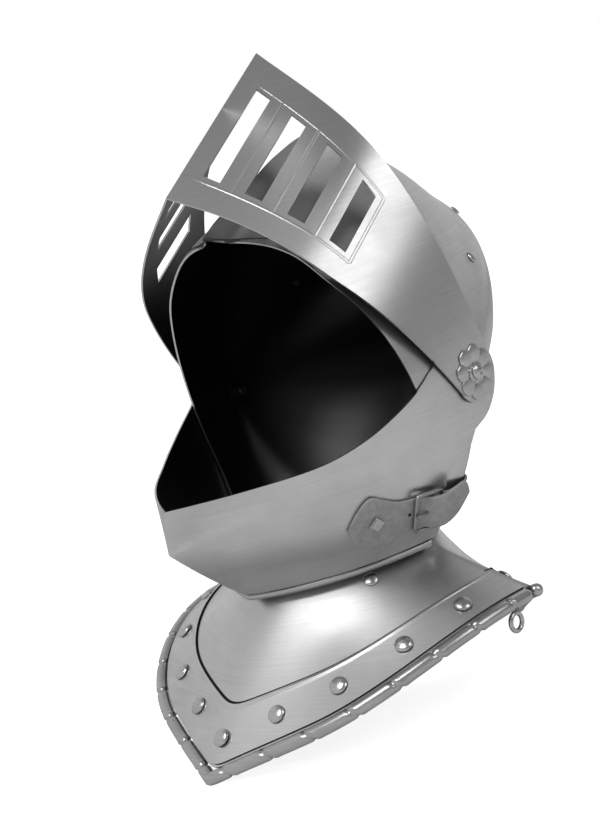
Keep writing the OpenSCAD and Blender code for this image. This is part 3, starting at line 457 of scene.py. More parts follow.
def black_paint(name):
    """Brushed-on black enamel inside the helmet: smooth and fairly glossy, with slight waves."""
    material, tree = new_material(name)
    where = add(tree, "ShaderNodeTexCoord")
    waves = add(tree, "ShaderNodeTexNoise", None, {"Vector": (where, "Object"), "Scale": 60.0, "Detail": 2.0})
    relief = add(tree, "ShaderNodeBump", None, {
        "Height": (waves, "Fac"), "Strength": 0.15, "Distance": 0.0003})
    colour = ramp(tree, (waves, "Fac"), [(0.3, "#060606"), (0.7, "#0b0b0b")])
    shader = add(tree, "ShaderNodeBsdfPrincipled", None, {
        "Base Color": (colour, "Color"), "Roughness": 0.34, "Specular IOR Level": 0.5,
        "Normal": (relief, "Normal")})
    add(tree, "ShaderNodeOutputMaterial", None, {"Surface": (shader, "BSDF")})
    return material


def strap_leather(name):
    """Vegetable-tanned strap leather, smooth on the grain side, with fine pores and a dull sheen.

    The pores are cells 0.7 mm across, coarser than real ones so that they show, and the mottling is 4 mm."""
    material, tree = new_material(name)
    where = add(tree, "ShaderNodeTexCoord")
    pores = add(tree, "ShaderNodeTexVoronoi", None, {"Vector": (where, "Object"), "Scale": 1400.0})
    mottle = add(tree, "ShaderNodeTexNoise", None, {
        "Vector": (where, "Object"), "Scale": 260.0, "Detail": 6.0, "Roughness": 0.7})
    colour = ramp(tree, (mottle, "Fac"), [(0.25, "#7e7e7e"), (0.75, "#9c9c9c")])
    relief = add(tree, "ShaderNodeBump", None, {
        "Height": (pores, "Distance"), "Strength": 0.3, "Distance": 0.0002})
    shader = add(tree, "ShaderNodeBsdfPrincipled", None, {
        "Base Color": (colour, "Color"), "Roughness": 0.6, "Specular IOR Level": 0.35,
        "Normal": (relief, "Normal")})
    add(tree, "ShaderNodeOutputMaterial", None, {"Surface": (shader, "BSDF")})
    return material


# The shells are brushed to a satin: broad soft highlights, and scratches that just show
SATIN = brushed_steel("satin_steel", "#b2b2b2", "#cccccc", 0.33, 0.45)
# The rolled edges are handled and filed, so they are a little darker, with a tighter highlight
RIM_STEEL = brushed_steel("rim_steel", "#9c9c9c", "#bcbcbc", 0.3, 0.6, anisotropy=0.2)
# Rivet heads and petals are polished by wear, with small bright highlights
RIVET_STEEL = brushed_steel("rivet_steel", "#a0a0a0", "#c8c8c8", 0.24, 0.5, anisotropy=0.0)
# The buckle is plain iron wire, grey and dull
BUCKLE_STEEL = brushed_steel("buckle_steel", "#7c7c7c", "#a4a4a4", 0.34, 0.4, anisotropy=0.0)
# Painted shade in the step under a border: nearly black steel, without a highlight
SEAM_SHADE = brushed_steel("seam_painted_shade", "#1c1c1c", "#2c2c2c", 0.5, 0.6, anisotropy=0.0)
PAINT = black_paint("black_paint")
LEATHER = strap_leather("strap_leather")


# Skull

def neck_u(f):
    """Height of the neck opening's sloping plane."""
    return -NECK_DROP - NECK_SLOPE * f


# The skull's front edge in side view, the round of its cheek under the bevor, and its foot
FACE_EDGE = curve([(120, 112), (98, 102), (84, 96), (75, 85), (69, 67), (59, 46), (50, 23), (43, 1),
                   (36, -25), (32, -45), (32, -60), (34, -70)])
CHEEK_R = 88.0
CHEEK_TURN = np.radians([-66, -68, -70, -72])
CHEEK = CHEEK_R * np.stack([np.cos(CHEEK_TURN), np.sin(CHEEK_TURN)], -1)
SKULL_OUTLINE = np.vstack([FACE_EDGE, CHEEK, [[BEVOR_REAR_F, -CHEEK_R * 0.955],
                                              [BEVOR_REAR_F, neck_u(BEVOR_REAR_F) + SEAT_GAP],
                                              [-200, neck_u(-200) + SEAT_GAP]]])
SPOKES, RINGS = 230, 62


def make_skull():
    """The skull's shell, cut along its outline and given the plate's thickness."""
    verts, quads = trimmed_shell(skull_reach, SKULL_W, SKULL_OUTLINE, (-20, 60), SPOKES, RINGS)
    verts, quads, kind = thickened(verts, quads, PLATE / 1000)
    make_piece("skull_shell", verts, quads, [SATIN, PAINT], "skull", ["skull"], kind)


make_skull()

# Bevor

# The bevor's upper edge in side view, round its ear and down behind the cheek
BEVOR_EDGE = curve([(190, -46), (160, -41.5), (130, -36.5), (100, -31), (79, -23), (62, -14), (43, -2),
                    (26, 12), (12, 19), (0, 20.5), (-14, 15), (-20.5, 0), (-18, -14), (-10, -25), (0, -31),
                    (11, -36.5), (20, -41), (25, -48), (BEVOR_REAR_F, -60), (BEVOR_REAR_F, -80)])


def make_bevor():
    """The bevor's shell. One spoke runs to the chin's point, so that its corner stays sharp."""
    foot = [[BEVOR_REAR_F, neck_u(BEVOR_REAR_F) + BEAD_R + SEAT_GAP], [200, neck_u(200) + BEAD_R + SEAT_GAP]]
    outline = np.vstack([BEVOR_EDGE, foot])
    chin = math.radians(-CHIN_DEG)
    reach = BEVOR_R + CHIN_H
    verts, quads = trimmed_shell(bevor_reach, BEVOR_W, outline, (55, -50), SPOKES, RINGS,
                                 extra=[(reach * math.cos(chin), reach * math.sin(chin))])
    verts, quads, kind = thickened(verts, quads, PLATE / 1000)
    make_piece("bevor_shell", verts, quads, [SATIN, PAINT], "bevor", ["bevor"], kind, sharp=20)


make_bevor()


def neck_line(reach, width, t, inset, lift):
    """x, f and u round the neck opening at an angle t from the front, drawn in from a shell by inset."""
    t = np.radians(t)
    low, high = np.zeros(np.shape(t)), np.full(np.shape(t), 200.0)
    for _ in range(40):
        middle = (low + high) / 2
        f = NECK_F + middle * np.cos(t)
        x = np.abs(middle * np.sin(t))
        u = neck_u(f) + lift
        shell = reach(np.minimum(x, width), np.degrees(np.arctan2(u, f)))
        outside = np.hypot(f, u) > np.where(x < width, shell, 0)
        low, high = np.where(outside, low, middle), np.where(outside, middle, high)
    r = (low + high) / 2 - inset
    f = NECK_F + r * np.cos(t)
    return r * np.sin(t), f, neck_u(f) + lift


def make_bead():
    """The rolled bead round the bevor's neck, a tube with its middle in the plate's."""
    t = np.linspace(-BEAD_END, BEAD_END, 150)
    path = place(*neck_line(bevor_reach, BEVOR_W, t, PLATE / 2, 0.0))
    verts, quads = tube(path, BEAD_R / 1000, 18)
    make_piece("bevor_neck_bead", verts, quads, [RIM_STEEL], "bevor", ["bevor_bead"])


make_bead()

# Visor, in its own frame: x across, a forward of the pivots, b along the keel

# Angles round half of the visor's section, and below them its places and lengths from the keel
ARC_T = np.linspace(0, 90, 1801)


def visor_section(t):
    """x and a of the visor's section at t, 0 at the keel and 90 at the pivot: a squared oval with a keel."""
    t = np.radians(t)
    x = VISOR_W * spow(np.sin(t), 2 / VISOR_N)
    return x, VISOR_A * np.abs(np.cos(t)) ** (2 / VISOR_N) + VISOR_KEEL_H * bump(x, VISOR_KEEL_W)


ARC_X, ARC_A = visor_section(ARC_T)
ARC_S = np.concatenate([[0], np.cumsum(np.hypot(np.diff(ARC_X), np.diff(ARC_A)))])


def visor_top(a):
    """Height of the upper edge: a line that bends up by the square of a."""
    return VISOR_TOP + VISOR_TOP_RISE * a + VISOR_TOP_BEND * a * a


def visor_bottom(a):
    """Height of the lower edge, level behind and drawn up smoothly towards the keel."""
    return -VISOR_LOW + (VISOR_LOW - VISOR_LOW_KEEL) * smooth((a - VISOR_LOW_FROM) / VISOR_LOW_RUN)


def slot_bottom(a):
    """Height of the slots' lower ends, a straight slope."""
    return SLOT_LOW - SLOT_SLOPE * (VISOR_FWD - SLOT_FRONT - a)


def slot_top(a):
    """Height of the slots' upper ends, a margin below the edge."""
    return visor_top(a) - SLOT_TOP_MARGIN


def in_visor(x, a, b):
    """Row-frame metres of a place in the visor's own frame."""
    c, s = math.cos(VISOR_RAISE), math.sin(VISOR_RAISE)
    return place(x, a * c - b * s, a * s + b * c)


# Arc lengths from the keel to the rear line, the slots' middles and the upright lines
LINE_REAR = SLOT_FIRST + (SLOT_COUNT - 1) * SLOT_PITCH + SLOT_W / 2 + LINE_MARGIN + 1
SLOT_MIDDLES = SLOT_FIRST + SLOT_PITCH * np.arange(SLOT_COUNT)
DIVIDERS = np.concatenate([SLOT_MIDDLES[:-1] + SLOT_PITCH / 2, [LINE_REAR]])
SLOT_EDGES = np.ravel(SLOT_MIDDLES[:, None] + [-SLOT_W / 2, SLOT_W / 2])

# Arc length before which a level line is flat, and over which it rises to its full height
LINE_FLAT, LINE_FADE = 4.0, 30.0


def on_visor(s, b, out):
    """The visor's x, a and b at arc length s from the keel and height b, lifted out of the plate by out mm.

    The lift is along the section's normal, the slope of x and a over 0.2 mm turned by a right angle."""
    x, a = np.interp(s, ARC_S, ARC_X), np.interp(s, ARC_S, ARC_A)
    dx = np.interp(s + 0.1, ARC_S, ARC_X) - np.interp(s - 0.1, ARC_S, ARC_X)
    da = np.interp(s + 0.1, ARC_S, ARC_A) - np.interp(s - 0.1, ARC_S, ARC_A)
    size = np.hypot(dx, da)
    return x - out * da / size, a + out * dx / size, b


def line_bars():
    """Raised lines: flat bars with rounded tops, sunk into the plate, on both sides.

    Two run along the slots' ends and fade out towards the keel, and the others stand between the slots.
    Round a bar at q, the width is cos q, and the height is sin q times the rise above or the depth below."""
    turn = np.linspace(0, 2 * np.pi, 17)
    across, up = LINE_W / 2 * np.cos(turn), np.sin(turn)
    along = np.linspace(2, LINE_REAR, 120)
    forward = np.interp(along, ARC_S, ARC_A)
    paths = [(along, slot_bottom(forward) - LINE_MARGIN, 1), (along, slot_top(forward) + LINE_MARGIN, 1)]
    for s, a in zip(DIVIDERS, np.interp(DIVIDERS, ARC_S, ARC_A)):
        heights = np.linspace(slot_bottom(a) - LINE_MARGIN, slot_top(a) + LINE_MARGIN, 60)
        paths.append((np.full(60, s), heights, 0))
    parts = []
    for s, b, level in paths:
        high = LINE_H * smooth((s - LINE_FLAT) / LINE_FADE)[:, None]
        out = np.where(up > 0, high * up, LINE_SUNK * up)
        x, a, b = on_visor(s[:, None] + (1 - level) * across, b[:, None] + level * across, out)
        parts += [closed_sweep(in_visor(side * x, a, b)) for side in (-1, 1)]
    return joined(parts)


# Grid columns between the visor's lower edge, the slots' two ends and its upper edge
VISOR_BANDS = (19, 31, 19)


def make_visor():
    """The plate is a grid of arc length from the keel against share of height.

    Grid lines lie on the edges of the slots, whose faces are left out. Past the pivots the plate runs flat
    and ends in a round ear."""
    total = ARC_S[-1]
    s = np.concatenate([np.arange(0, total, 1.6), SLOT_EDGES, [LINE_REAR, total]])
    near = np.abs(s[:, None] - SLOT_EDGES[None]).min(1)
    s = np.unique(np.round(s[(near < 1e-6) | (near > 0.4)], 4))
    x, a = np.interp(s, ARC_S, ARC_X), np.interp(s, ARC_S, ARC_A)
    ear = VISOR_EAR_R * np.sin(np.linspace(0, 1, 24)[1:] * np.pi / 2)
    x, a = np.concatenate([x, np.full(len(ear), VISOR_W)]), np.concatenate([a, -ear])
    round_end = np.sqrt(np.clip(VISOR_EAR_R ** 2 - np.minimum(a, 0) ** 2, 0, None))
    low = np.where(a < 0, -round_end, visor_bottom(np.maximum(a, 0)))
    high = np.where(a < 0, round_end, visor_top(np.maximum(a, 0)))
    fade = smooth((a - ARC_A[np.searchsorted(ARC_S, LINE_REAR + 25)]) / 12)
    marks = [low, slot_bottom(a) * fade + (low * 0.7 + high * 0.3) * (1 - fade),
             slot_top(a) * fade + (low * 0.3 + high * 0.7) * (1 - fade), high]
    bands = [marks[k][:, None] + (marks[k + 1] - marks[k])[:, None] * np.linspace(0, 1, n)[None, :-1]
             for k, n in enumerate(VISOR_BANDS)]
    b = np.concatenate(bands + [high[:, None]], 1)
    quads = grid_quads(*b.shape)
    cell_s = np.concatenate([(s[:-1] + s[1:]) / 2, np.full(len(ear), total)])[:, None]
    column = np.arange(b.shape[1] - 1)
    band = (column >= VISOR_BANDS[0] - 1) & (column < VISOR_BANDS[0] + VISOR_BANDS[1] - 2)
    hole = (np.abs(cell_s - SLOT_MIDDLES) < SLOT_W / 2).any(-1)[:, None] & band
    quads = quads[~hole.ravel()]
    left, right = (in_visor(side * x[:, None], a[:, None], b).reshape(-1, 3) for side in (1, -1))
    verts, faces = merged(*joined([(left, quads), (right, quads[:, ::-1])]))
    faces = turned_out(verts, faces, place(0.0, 0.0, 60.0))
    verts, faces, kind = thickened(verts, faces, PLATE / 1000)
    bars = line_bars()
    kind = np.concatenate([kind, np.zeros(len(bars[1]), int)])
    verts, faces = joined([(verts, faces), bars])
    make_piece("visor_shell", verts, faces, [SATIN, PAINT], "visor", ["visor"], kind, sharp=24)


make_visor()

# Rosettes, one on each pivot

# The petals' circles and the thickness at their edges, and the flat hub round the bore
PETALS, PETAL_R, PETAL_REACH, PETAL_EDGE = 8, 5.4, 10.8, 0.5
ROSETTE_T, ROSETTE_BORE, HUB_R, HUB_FADE = 1.6, 3.05, 6.5, 1.5


def make_rosettes():
    """Eight petals cut as circles round the pivot, each beaten up into a low dome.

    Along a ray at an angle q from a petal's axis the edge is at D cos q + sqrt(r^2 - D^2 sin^2 q), and the
    face is as high as a dome over the nearest petal's middle."""
    turn = np.linspace(0, 2 * np.pi, 321)
    q = np.mod(turn + np.pi / PETALS, 2 * np.pi / PETALS) - np.pi / PETALS
    edge = PETAL_REACH * np.cos(q) + np.sqrt(PETAL_R ** 2 - (PETAL_REACH * np.sin(q)) ** 2)
    share = np.sin(np.linspace(0, 1, 26) * np.pi / 2)
    r = ROSETTE_BORE + (edge - ROSETTE_BORE)[:, None] * share
    off = np.hypot(r * np.cos(q)[:, None] - PETAL_REACH, r * np.sin(q)[:, None])
    dome = PETAL_EDGE + (ROSETTE_T - PETAL_EDGE) * np.sqrt(np.clip(1 - (off / PETAL_R) ** 2, 0, 1))
    hub = ROSETTE_T * smooth((HUB_R - r) / HUB_FADE)
    high = np.maximum(dome, hub)
    r = np.concatenate([r[:, :1], r, r[:, -1:], r[:, :1]], 1)
    z = np.concatenate([np.zeros((len(turn), 1)), high, np.zeros((len(turn), 2))], 1)
    for side, name in ((1, "left"), (-1, "right")):
        a, b = r * np.cos(turn)[:, None], r * np.sin(turn)[:, None]
        points = in_visor(side * (VISOR_W + SEAT_GAP + z), a, b).reshape(-1, 3)
        verts, quads = merged(points, grid_quads(*r.shape), 1e-7)
        quads = turned_out(verts, quads, place(side * VISOR_W, 0.0, 0.0))
        make_piece(f"rosette_{name}_petals", verts, quads, [RIVET_STEEL], "visor", [f"rosette_{name}"],
                   sharp=38)


make_rosettes()

# Gorget

# The back rim from shoulder to point, as shares of half the width, of the reach behind and of the drop.
# The last point only sets the curve's slope at the middle, and its span is dropped.
RIM_STEPS = 12
BACK_RIM = curve([(1, 0, 0), (0.91, 0.04, 0.1), (0.81, 0.115, 0.28), (0.715, 0.22, 0.42),
                  (0.61, 0.36, 0.56), (0.485, 0.51, 0.74), (0.365, 0.67, 0.915), (0.24, 0.82, 1.02),
                  (0.12, 0.94, 0.998), (0, 0.985, 0.98), (-0.12, 0.94, 0.998)], RIM_STEPS)[:-RIM_STEPS]
GORGET_MIDDLE = (0.0, 10.0, -190.0)


def rim_point(t, inset=0.0):
    """x, f and u of the rolled rim's middle at t, 0 in front and 180 behind.

    In front it is half a squared oval with a keel. Behind, it runs from the shoulders to a blunt point."""
    t = np.asarray(t, float)
    turn = np.radians(t)
    x = (GORGET_W - RIM_R - inset) * spow(np.sin(turn), 1 / 1.1)
    depth = GORGET_FRONT - RIM_R - RIM_F - GORGET_KEEL_H
    f = RIM_F + (depth - inset) * np.clip(np.cos(turn), 0, None) ** (1 / 1.1)
    f = f + GORGET_KEEL_H * bump(x, GORGET_KEEL_W)
    u = -SHOULDER_DROP - (FRONT_DROP - SHOULDER_DROP) * (f / (GORGET_FRONT - RIM_R)) ** 2.1
    q = np.clip(1 - np.abs(180 - t) / 90, 0, 1) * (len(BACK_RIM) - 1)
    share = [np.interp(q, np.arange(len(BACK_RIM)), BACK_RIM[:, k]) for k in range(3)]
    back = np.cos(turn) <= 0
    x = np.where(back, np.sign(180 - t) * share[0] * (GORGET_W - RIM_R - inset), x)
    f = np.where(back, RIM_F - share[1] * (GORGET_BACK + RIM_F - RIM_R - inset), f)
    return x, f, np.where(back, -SHOULDER_DROP - (BACK_DROP - SHOULDER_DROP) * share[2], u)


def plate_rows(kind, t, v):
    """Points of a gorget plate, from its neck inside a shell down and out to the rim.

    The way out goes by v^FLARE and the way down by v, which leaves a slight hollow."""
    t = np.asarray(t, float)
    turn = np.minimum(np.mod(t, 360), 360 - np.mod(t, 360))
    if kind == "back":
        reach, width, gap, low = skull_reach, SKULL_W, 2 * PLATE + 0.4, -1.5
        lift = np.full(t.shape, NECK_LAP)
        inset = (PLATE + SLIDE_GAP) * 1.9 * (1 - smooth((turn - 88) / 4))
    else:
        reach, width, gap, low = bevor_reach, BEVOR_W, PLATE / 2 + BEAD_R + 1.4, -BEAD_R - 0.8
        lift = NECK_LAP + (-1 - NECK_LAP) * smooth((turn - BEAD_END) / 2.5)
        inset = 0.0
    top = np.stack(neck_line(reach, width, t, gap, lift), -1)
    a = np.stack(neck_line(reach, width, t, gap, low), -1)
    rim = np.stack(rim_point(t, inset), -1)
    way = a - rim
    b = rim + (RIM_R + RIM_GAP) * way / np.linalg.norm(way, axis=1, keepdims=True)
    v = np.asarray(v, float)
    g = np.clip(v, 0, None)[None] ** FLARE
    x = a[:, :1] + (b - a)[:, :1] * g
    f = a[:, 1:2] + (b - a)[:, 1:2] * g
    u = a[:, 2:] + (b - a)[:, 2:] * np.clip(v, 0, None)[None]
    up = np.clip(-v, 0, None)[None]
    x, f, u = (p + (top[:, k:k + 1] - p) * up for k, p in enumerate((x, f, u)))
    return place(x, f, u)


# Degrees over which the front plate's keel is beaten round, up to which it is, and over which that fades
KEEL_SOFT, SOFT_TO, SOFT_FADE = 9.0, 40.0, 25.0


def softened(grid, t, v):
    """The front plate with its crease beaten round: each row is averaged along t, least at the rim.

    The weights are exp(-(gap / width)^2), and the averaging dies away towards the plate's two ends."""
    gap = t[:, None] - t[None]
    out = grid.copy()
    for j, level in enumerate(v):
        bell = np.exp(-(gap / (KEEL_SOFT * (1 - 0.75 * smooth(level)))) ** 2)
        bell *= np.gradient(t)[None]
        mean = (bell @ grid[:, j]) / bell.sum(1, keepdims=True)
        near = (1 - smooth((np.abs(t) - SOFT_TO) / SOFT_FADE))[:, None]
        out[:, j] += (mean - grid[:, j]) * near
    return out


# Angles round the two plates, and shares from neck to rim with the band of painted shade above the border
FRONT_END, BACK_FROM = 88.0, 85.0
BEAD_STEP = BEAD_END + 1.2
FRONT_T = np.unique(np.append(np.linspace(-FRONT_END, FRONT_END, 177), [-BEAD_STEP, BEAD_STEP]))
BACK_T = np.linspace(BACK_FROM, 360 - BACK_FROM, 191)
SEAM_V = STRIP_START - 0.016
PLATE_V = np.unique(np.concatenate([np.linspace(-1, 0, 5), np.linspace(0, 1, 50), [SEAM_V, STRIP_START]]))


def make_gorget_plates():
    """The two plates that spread from the neck, with a band of painted shade where each border begins."""
    for kind, name, t, node, body in (
            ("front", "gorget_front_shell", FRONT_T, "gorget_front_plate", "bevor"),
            ("back", "gorget_back_shell", BACK_T, "gorget_back_plate", "skull")):
        grid = plate_rows(kind, t, PLATE_V)
        if kind == "front":
            grid = softened(grid, t, PLATE_V)
        verts = grid.reshape(-1, 3)
        quads = turned_out(verts, grid_quads(*grid.shape[:2]), place(*GORGET_MIDDLE))
        column = np.tile((PLATE_V[:-1] + PLATE_V[1:]) / 2, len(t) - 1)
        # The faces just above each border take the near-black steel: painted shade of the step under the
        # border
        under = (column > SEAM_V) & (column < STRIP_START)
        verts, quads, side = thickened(verts, quads, PLATE / 1000)
        side[:len(under)][under] = 2
        make_piece(name, verts, quads, [SATIN, PAINT, SEAM_SHADE], body, [node], side, sharp=20)


make_gorget_plates()


def lifted(grid, distance):
    """A grid of points moved along its own surface's normal, outward from the helmet."""
    across, down = np.gradient(grid, axis=0), np.gradient(grid, axis=1)
    n = np.cross(across, down)
    n /= np.linalg.norm(n, axis=-1, keepdims=True)
    if (n * (grid - place(*GORGET_MIDDLE))).sum() < 0:
        n = -n
    return grid + n * distance


# The strips' gap to the plates, their fine lip's height and its share of the way to the rim
STRIP_GAP, STRIP_LIP, LIP_V = 0.15, 0.35, 0.035


def make_strips():
    """The border strips. Their upper edge is rolled into a fine lip, and their walls are painted near black
    as shade in the step under it.

    The lip is as high as the square of half a sine wave."""
    v = np.concatenate([STRIP_START + np.linspace(0, LIP_V, 9)[:-1],
                        np.linspace(STRIP_START + LIP_V, STRIP_END, 22)])
    lip = STRIP_LIP * np.sin(np.clip((v - STRIP_START) / LIP_V, 0, 1) * np.pi) ** 2
    for kind, name, t, node, body in (
            ("front", "front_border", FRONT_T, "gorget_front_strip", "bevor"),
            ("back", "back_border", np.linspace(99, 261, 163), "gorget_back_strip", "skull")):
        grid = plate_rows(kind, t, v)
        if kind == "front":
            grid = softened(grid, t, v)
        grid = lifted(grid, ((STRIP_GAP + STRIP_T + lip) / 1000)[None, :, None])
        verts = grid.reshape(-1, 3)
        quads = turned_out(verts, grid_quads(*grid.shape[:2]), place(*GORGET_MIDDLE))
        verts, quads, side = thickened(verts, quads, STRIP_T / 1000)
        # All the strip's walls take the near-black steel: painted shade along its edges
        side[2 * (len(t) - 1) * (len(v) - 1):] = 1
        make_piece(name, verts, quads, [SATIN, SEAM_SHADE], body, [node], side, sharp=50)


make_strips()

# The rolled edges' creases, the low lip beside each, and the tube's steps, rounded ends and slimness
CRIMP_H, CRIMP_STEP, CRIMP_W, CRIMP_SLANT, CRIMP_FIRST = 0.9, 27.5, 1.3, 2.2, 12.0
CRIMP_LIP, CRIMP_LIP_AT, CRIMP_LIP_W = 0.175, 2.6, 1.6
RIM_STEP, RIM_ROUND, RIM_SMALLER = 0.9, 3.0, 0.15


def rolled_rim(t0, t1):
    """A rolled edge: a tube round the rim, pinched by slanting creases at even steps along it.

    A crease is as deep as exp(-(distance / width)^2), with a low lip beside it. Its place shifts with the
    angle round the tube, which slants it. The two ends are closed by quarter circles."""
    t = np.linspace(t0, t1, 4000)
    path = np.stack(rim_point(t), -1)
    length = np.concatenate([[0], np.cumsum(np.linalg.norm(np.diff(path, axis=0), axis=1))])
    near_end = RIM_ROUND - RIM_ROUND * np.sin(np.linspace(0, 1.5, 9))
    s = np.unique(np.concatenate([np.linspace(0, length[-1], int(length[-1] / RIM_STEP)), near_end,
                                  length[-1] - near_end]))
    path = place(*rim_point(np.interp(s, length, t)))
    s = s - length[-1] / 2
    sides = 20
    turn = np.linspace(0, 2 * np.pi, sides, endpoint=False)
    phase = np.abs(s)[:, None] - CRIMP_FIRST + CRIMP_SLANT * np.sin(turn)[None]
    phase = np.mod(phase + CRIMP_STEP / 2, CRIMP_STEP) - CRIMP_STEP / 2
    pinch = CRIMP_H * np.exp(-(phase / CRIMP_W) ** 2)
    lip = CRIMP_LIP * np.exp(-((phase - CRIMP_LIP_AT) / CRIMP_LIP_W) ** 2)
    end = np.clip((length[-1] / 2 - np.abs(s)) / RIM_ROUND, 0, 1)
    close = np.sqrt(1 - (1 - end) ** 2)[:, None]
    verts, quads = tube(path, (RIM_R - pinch + lip - RIM_SMALLER) * close / 1000, sides)
    verts[:, 2] = np.maximum(verts[:, 2], 0.0)
    return verts, quads


def make_rims():
    """The rolled edges of the front and the back plate."""
    for name, t0, t1, node, body in (("front_rolled_rim", -87.0, 87.0, "gorget_front_rim", "bevor"),
                                     ("back_rolled_rim", 91.0, 269.0, "gorget_back_rim", "skull")):
        verts, quads = rolled_rim(t0, t1)
        make_piece(name, verts, quads, [RIM_STEEL], body, [node], sharp=45)


make_rims()

# Straps, on the wearer's left only

# The front strap and its leaf, the buckle's two bars, the rear strap's fold round one of them, and its run
STRAP_W, LEAF_W, STRAP_T, STRAP_MID = 17.0, 29.0, 2.4, -69.0
LEAF_F, STRAP_END_F, LEAF_LENGTH, TAIL_RISE = 71.0, 18.0, 13.5, 5.0
FRONT_BAR_F, REAR_BAR_F, REAR_BAR_OFF = 48.8, 31.8, 3.6
FOLD_T, FOLD_R = 1.5, 1.4
OVER_BAR = REAR_BAR_OFF + FOLD_R + FOLD_T + REST_GAP + 0.7
REAR_W, NAPE_F, REAR_START, REAR_LIFT = 18.0, -19.0, 8.0, 4.2
HOLE_F = FRONT_BAR_F + 3


def off_shell(reach, width, f, u, d):
    """Places that stand d mm off a shell at f and u, along the shell's own normal."""
    x = shell_x(reach, width, f, u)
    nf = (shell_x(reach, width, f - 2, u) - shell_x(reach, width, f + 2, u)) / 4
    nu = (shell_x(reach, width, f, u - 2) - shell_x(reach, width, f, u + 2)) / 4
    size = np.sqrt(1 + nf ** 2 + nu ** 2)
    return place(x + d / size, f + d * nf / size, u + d * nu / size)


def strap_solid(reach, width, f, low, high, lift, thick, power=9.0, sides=64):
    """A strap laid over a shell: at each f a flat loop with rounded edges, |x|^p + |z|^p = 1 across it.

    low and high are the strap's edges and lift is its distance from the shell, all for each f."""
    turn = np.linspace(0, 2 * np.pi, sides + 1)
    across, up = spow(np.cos(turn), 2 / power), spow(np.sin(turn), 2 / power)
    middle, half = (low + high)[:, None] / 2, (high - low)[:, None] / 2
    u = middle + half * across
    d = lift[:, None] + thick / 2 * (1 + up)
    grid = off_shell(reach, width, np.broadcast_to(f[:, None], u.shape), u, d)
    return closed_sweep(grid)


def make_front_strap():
    """The strap with its leaf, and a spare hole before the buckle drawn as a small disc in black enamel:
    painted shade where the hole is.
    """
    half, leaf, end = STRAP_W / 2, LEAF_W / 2, STRAP_END_F
    last = LEAF_F + LEAF_LENGTH
    high = curve([(end, TAIL_RISE + 3), (end + 3, half + TAIL_RISE), (end + 9, half + TAIL_RISE * 0.7),
                  (REAR_BAR_F + 5, half), (44, half - 0.3), (58, half), (LEAF_F - 4, leaf - 3),
                  (LEAF_F + 5, leaf), (LEAF_F + 11, leaf / 2), (last, -1.5)])
    low = curve([(end, TAIL_RISE + 2), (end + 6, 1 + TAIL_RISE - half), (end + 12, TAIL_RISE / 3 - half),
                 (REAR_BAR_F + 6, -half), (46, -half), (54, 3.5 - leaf), (LEAF_F - 9, -leaf - 1.5),
                 (LEAF_F + 1, -leaf), (LEAF_F + 9, -leaf / 2 - 2), (last, -2.5)])
    lift_f = [end, REAR_BAR_F - 3, REAR_BAR_F + 1, REAR_BAR_F + 4, FRONT_BAR_F - 4, FRONT_BAR_F - 2, last]
    lift_d = [OVER_BAR + 0.8, OVER_BAR + 0.1, OVER_BAR, OVER_BAR - 1.3, REST_GAP + 0.5, REST_GAP, REST_GAP]
    f = end + (last - end) * (1 - np.cos(np.linspace(0, np.pi, 130)))[1:-1] / 2
    before, at_f, after = (np.interp(f + step, lift_f, lift_d) for step in (-1.5, 0, 1.5))
    smoothed = before * 0.25 + at_f * 0.5 + after * 0.25
    low_u = STRAP_MID + np.interp(f, low[:, 0], low[:, 1])
    high_u = np.maximum(STRAP_MID + np.interp(f, high[:, 0], high[:, 1]), low_u + 0.4)
    lift = np.maximum(smoothed, REST_GAP)
    verts, quads = strap_solid(bevor_reach, BEVOR_W, f, low_u, high_u, lift, STRAP_T)
    at, above = (off_shell(bevor_reach, BEVOR_W, np.array([HOLE_F]), np.array([STRAP_MID]), d)
                 for d in (REST_GAP + STRAP_T, REST_GAP + STRAP_T + 1))
    # A black disc set into the strap stands for the hole: painted shade, not a cut
    hole_shade_disc = np.array([(0, 0.06), (1.0, 0.04), (1.15, 0), (1.0, -0.3), (0, -0.3)])
    hole_shade_mesh = turned(hole_shade_disc / 1000, at, above - at)
    kind = np.concatenate([np.zeros(len(quads), int), np.ones(len(hole_shade_mesh[1]), int)])
    verts, quads = joined([(verts, quads), hole_shade_mesh])
    make_piece("front_strap_leather", verts, quads, [LEATHER, PAINT], "bevor", ["front_strap"], kind,
               sharp=50)


def make_rear_strap():
    """The strap from the nape, and its end folded round the buckle's rear bar."""
    f = np.linspace(NAPE_F - REAR_START, REAR_BAR_F - 1.5, 60)
    lift = 2 * REST_GAP + smooth((f - 2) / (REAR_BAR_F - 12)) * REAR_LIFT
    low, high = np.full(60, STRAP_MID - REAR_W / 2), np.full(60, STRAP_MID + REAR_W / 2)
    flap = strap_solid(skull_reach, SKULL_W, f, low, high, lift, FOLD_T)
    mid = STRAP_MID + np.linspace(-REAR_W / 2, REAR_W / 2, 30)
    axis = off_shell(bevor_reach, BEVOR_W, np.full(30, REAR_BAR_F), np.full(30, STRAP_MID), REAR_BAR_OFF)
    axis = axis[0] + (place(0.0, 0.0, mid) - place(0.0, 0.0, STRAP_MID))
    fold = tube(axis, (FOLD_R + FOLD_T) / 1000, 40)
    verts, quads = joined([flap, fold])
    make_piece("rear_strap_leather", verts, quads, [LEATHER], "skull", ["rear_strap"],
               sharp=50)


make_front_strap()
make_rear_strap()

# The CAD nodes that stay take a finish that suits them

FINISH = {"leather": LEATHER, "bright_steel": RIVET_STEEL, "buckle_steel": BUCKLE_STEEL, "steel": SATIN}
PAINTED = ("pivot_nuts", "nut_washers")
for part in frame["record"]["subparts"]:
    node = frame["nodes"][part["node"]]
    for material_slot in node.material_slots:
        material_slot.material = PAINT if part["node"] in PAINTED else FINISH[part["material_slot"]]


# Studio: white sweep, soft lamps and the photograph's camera

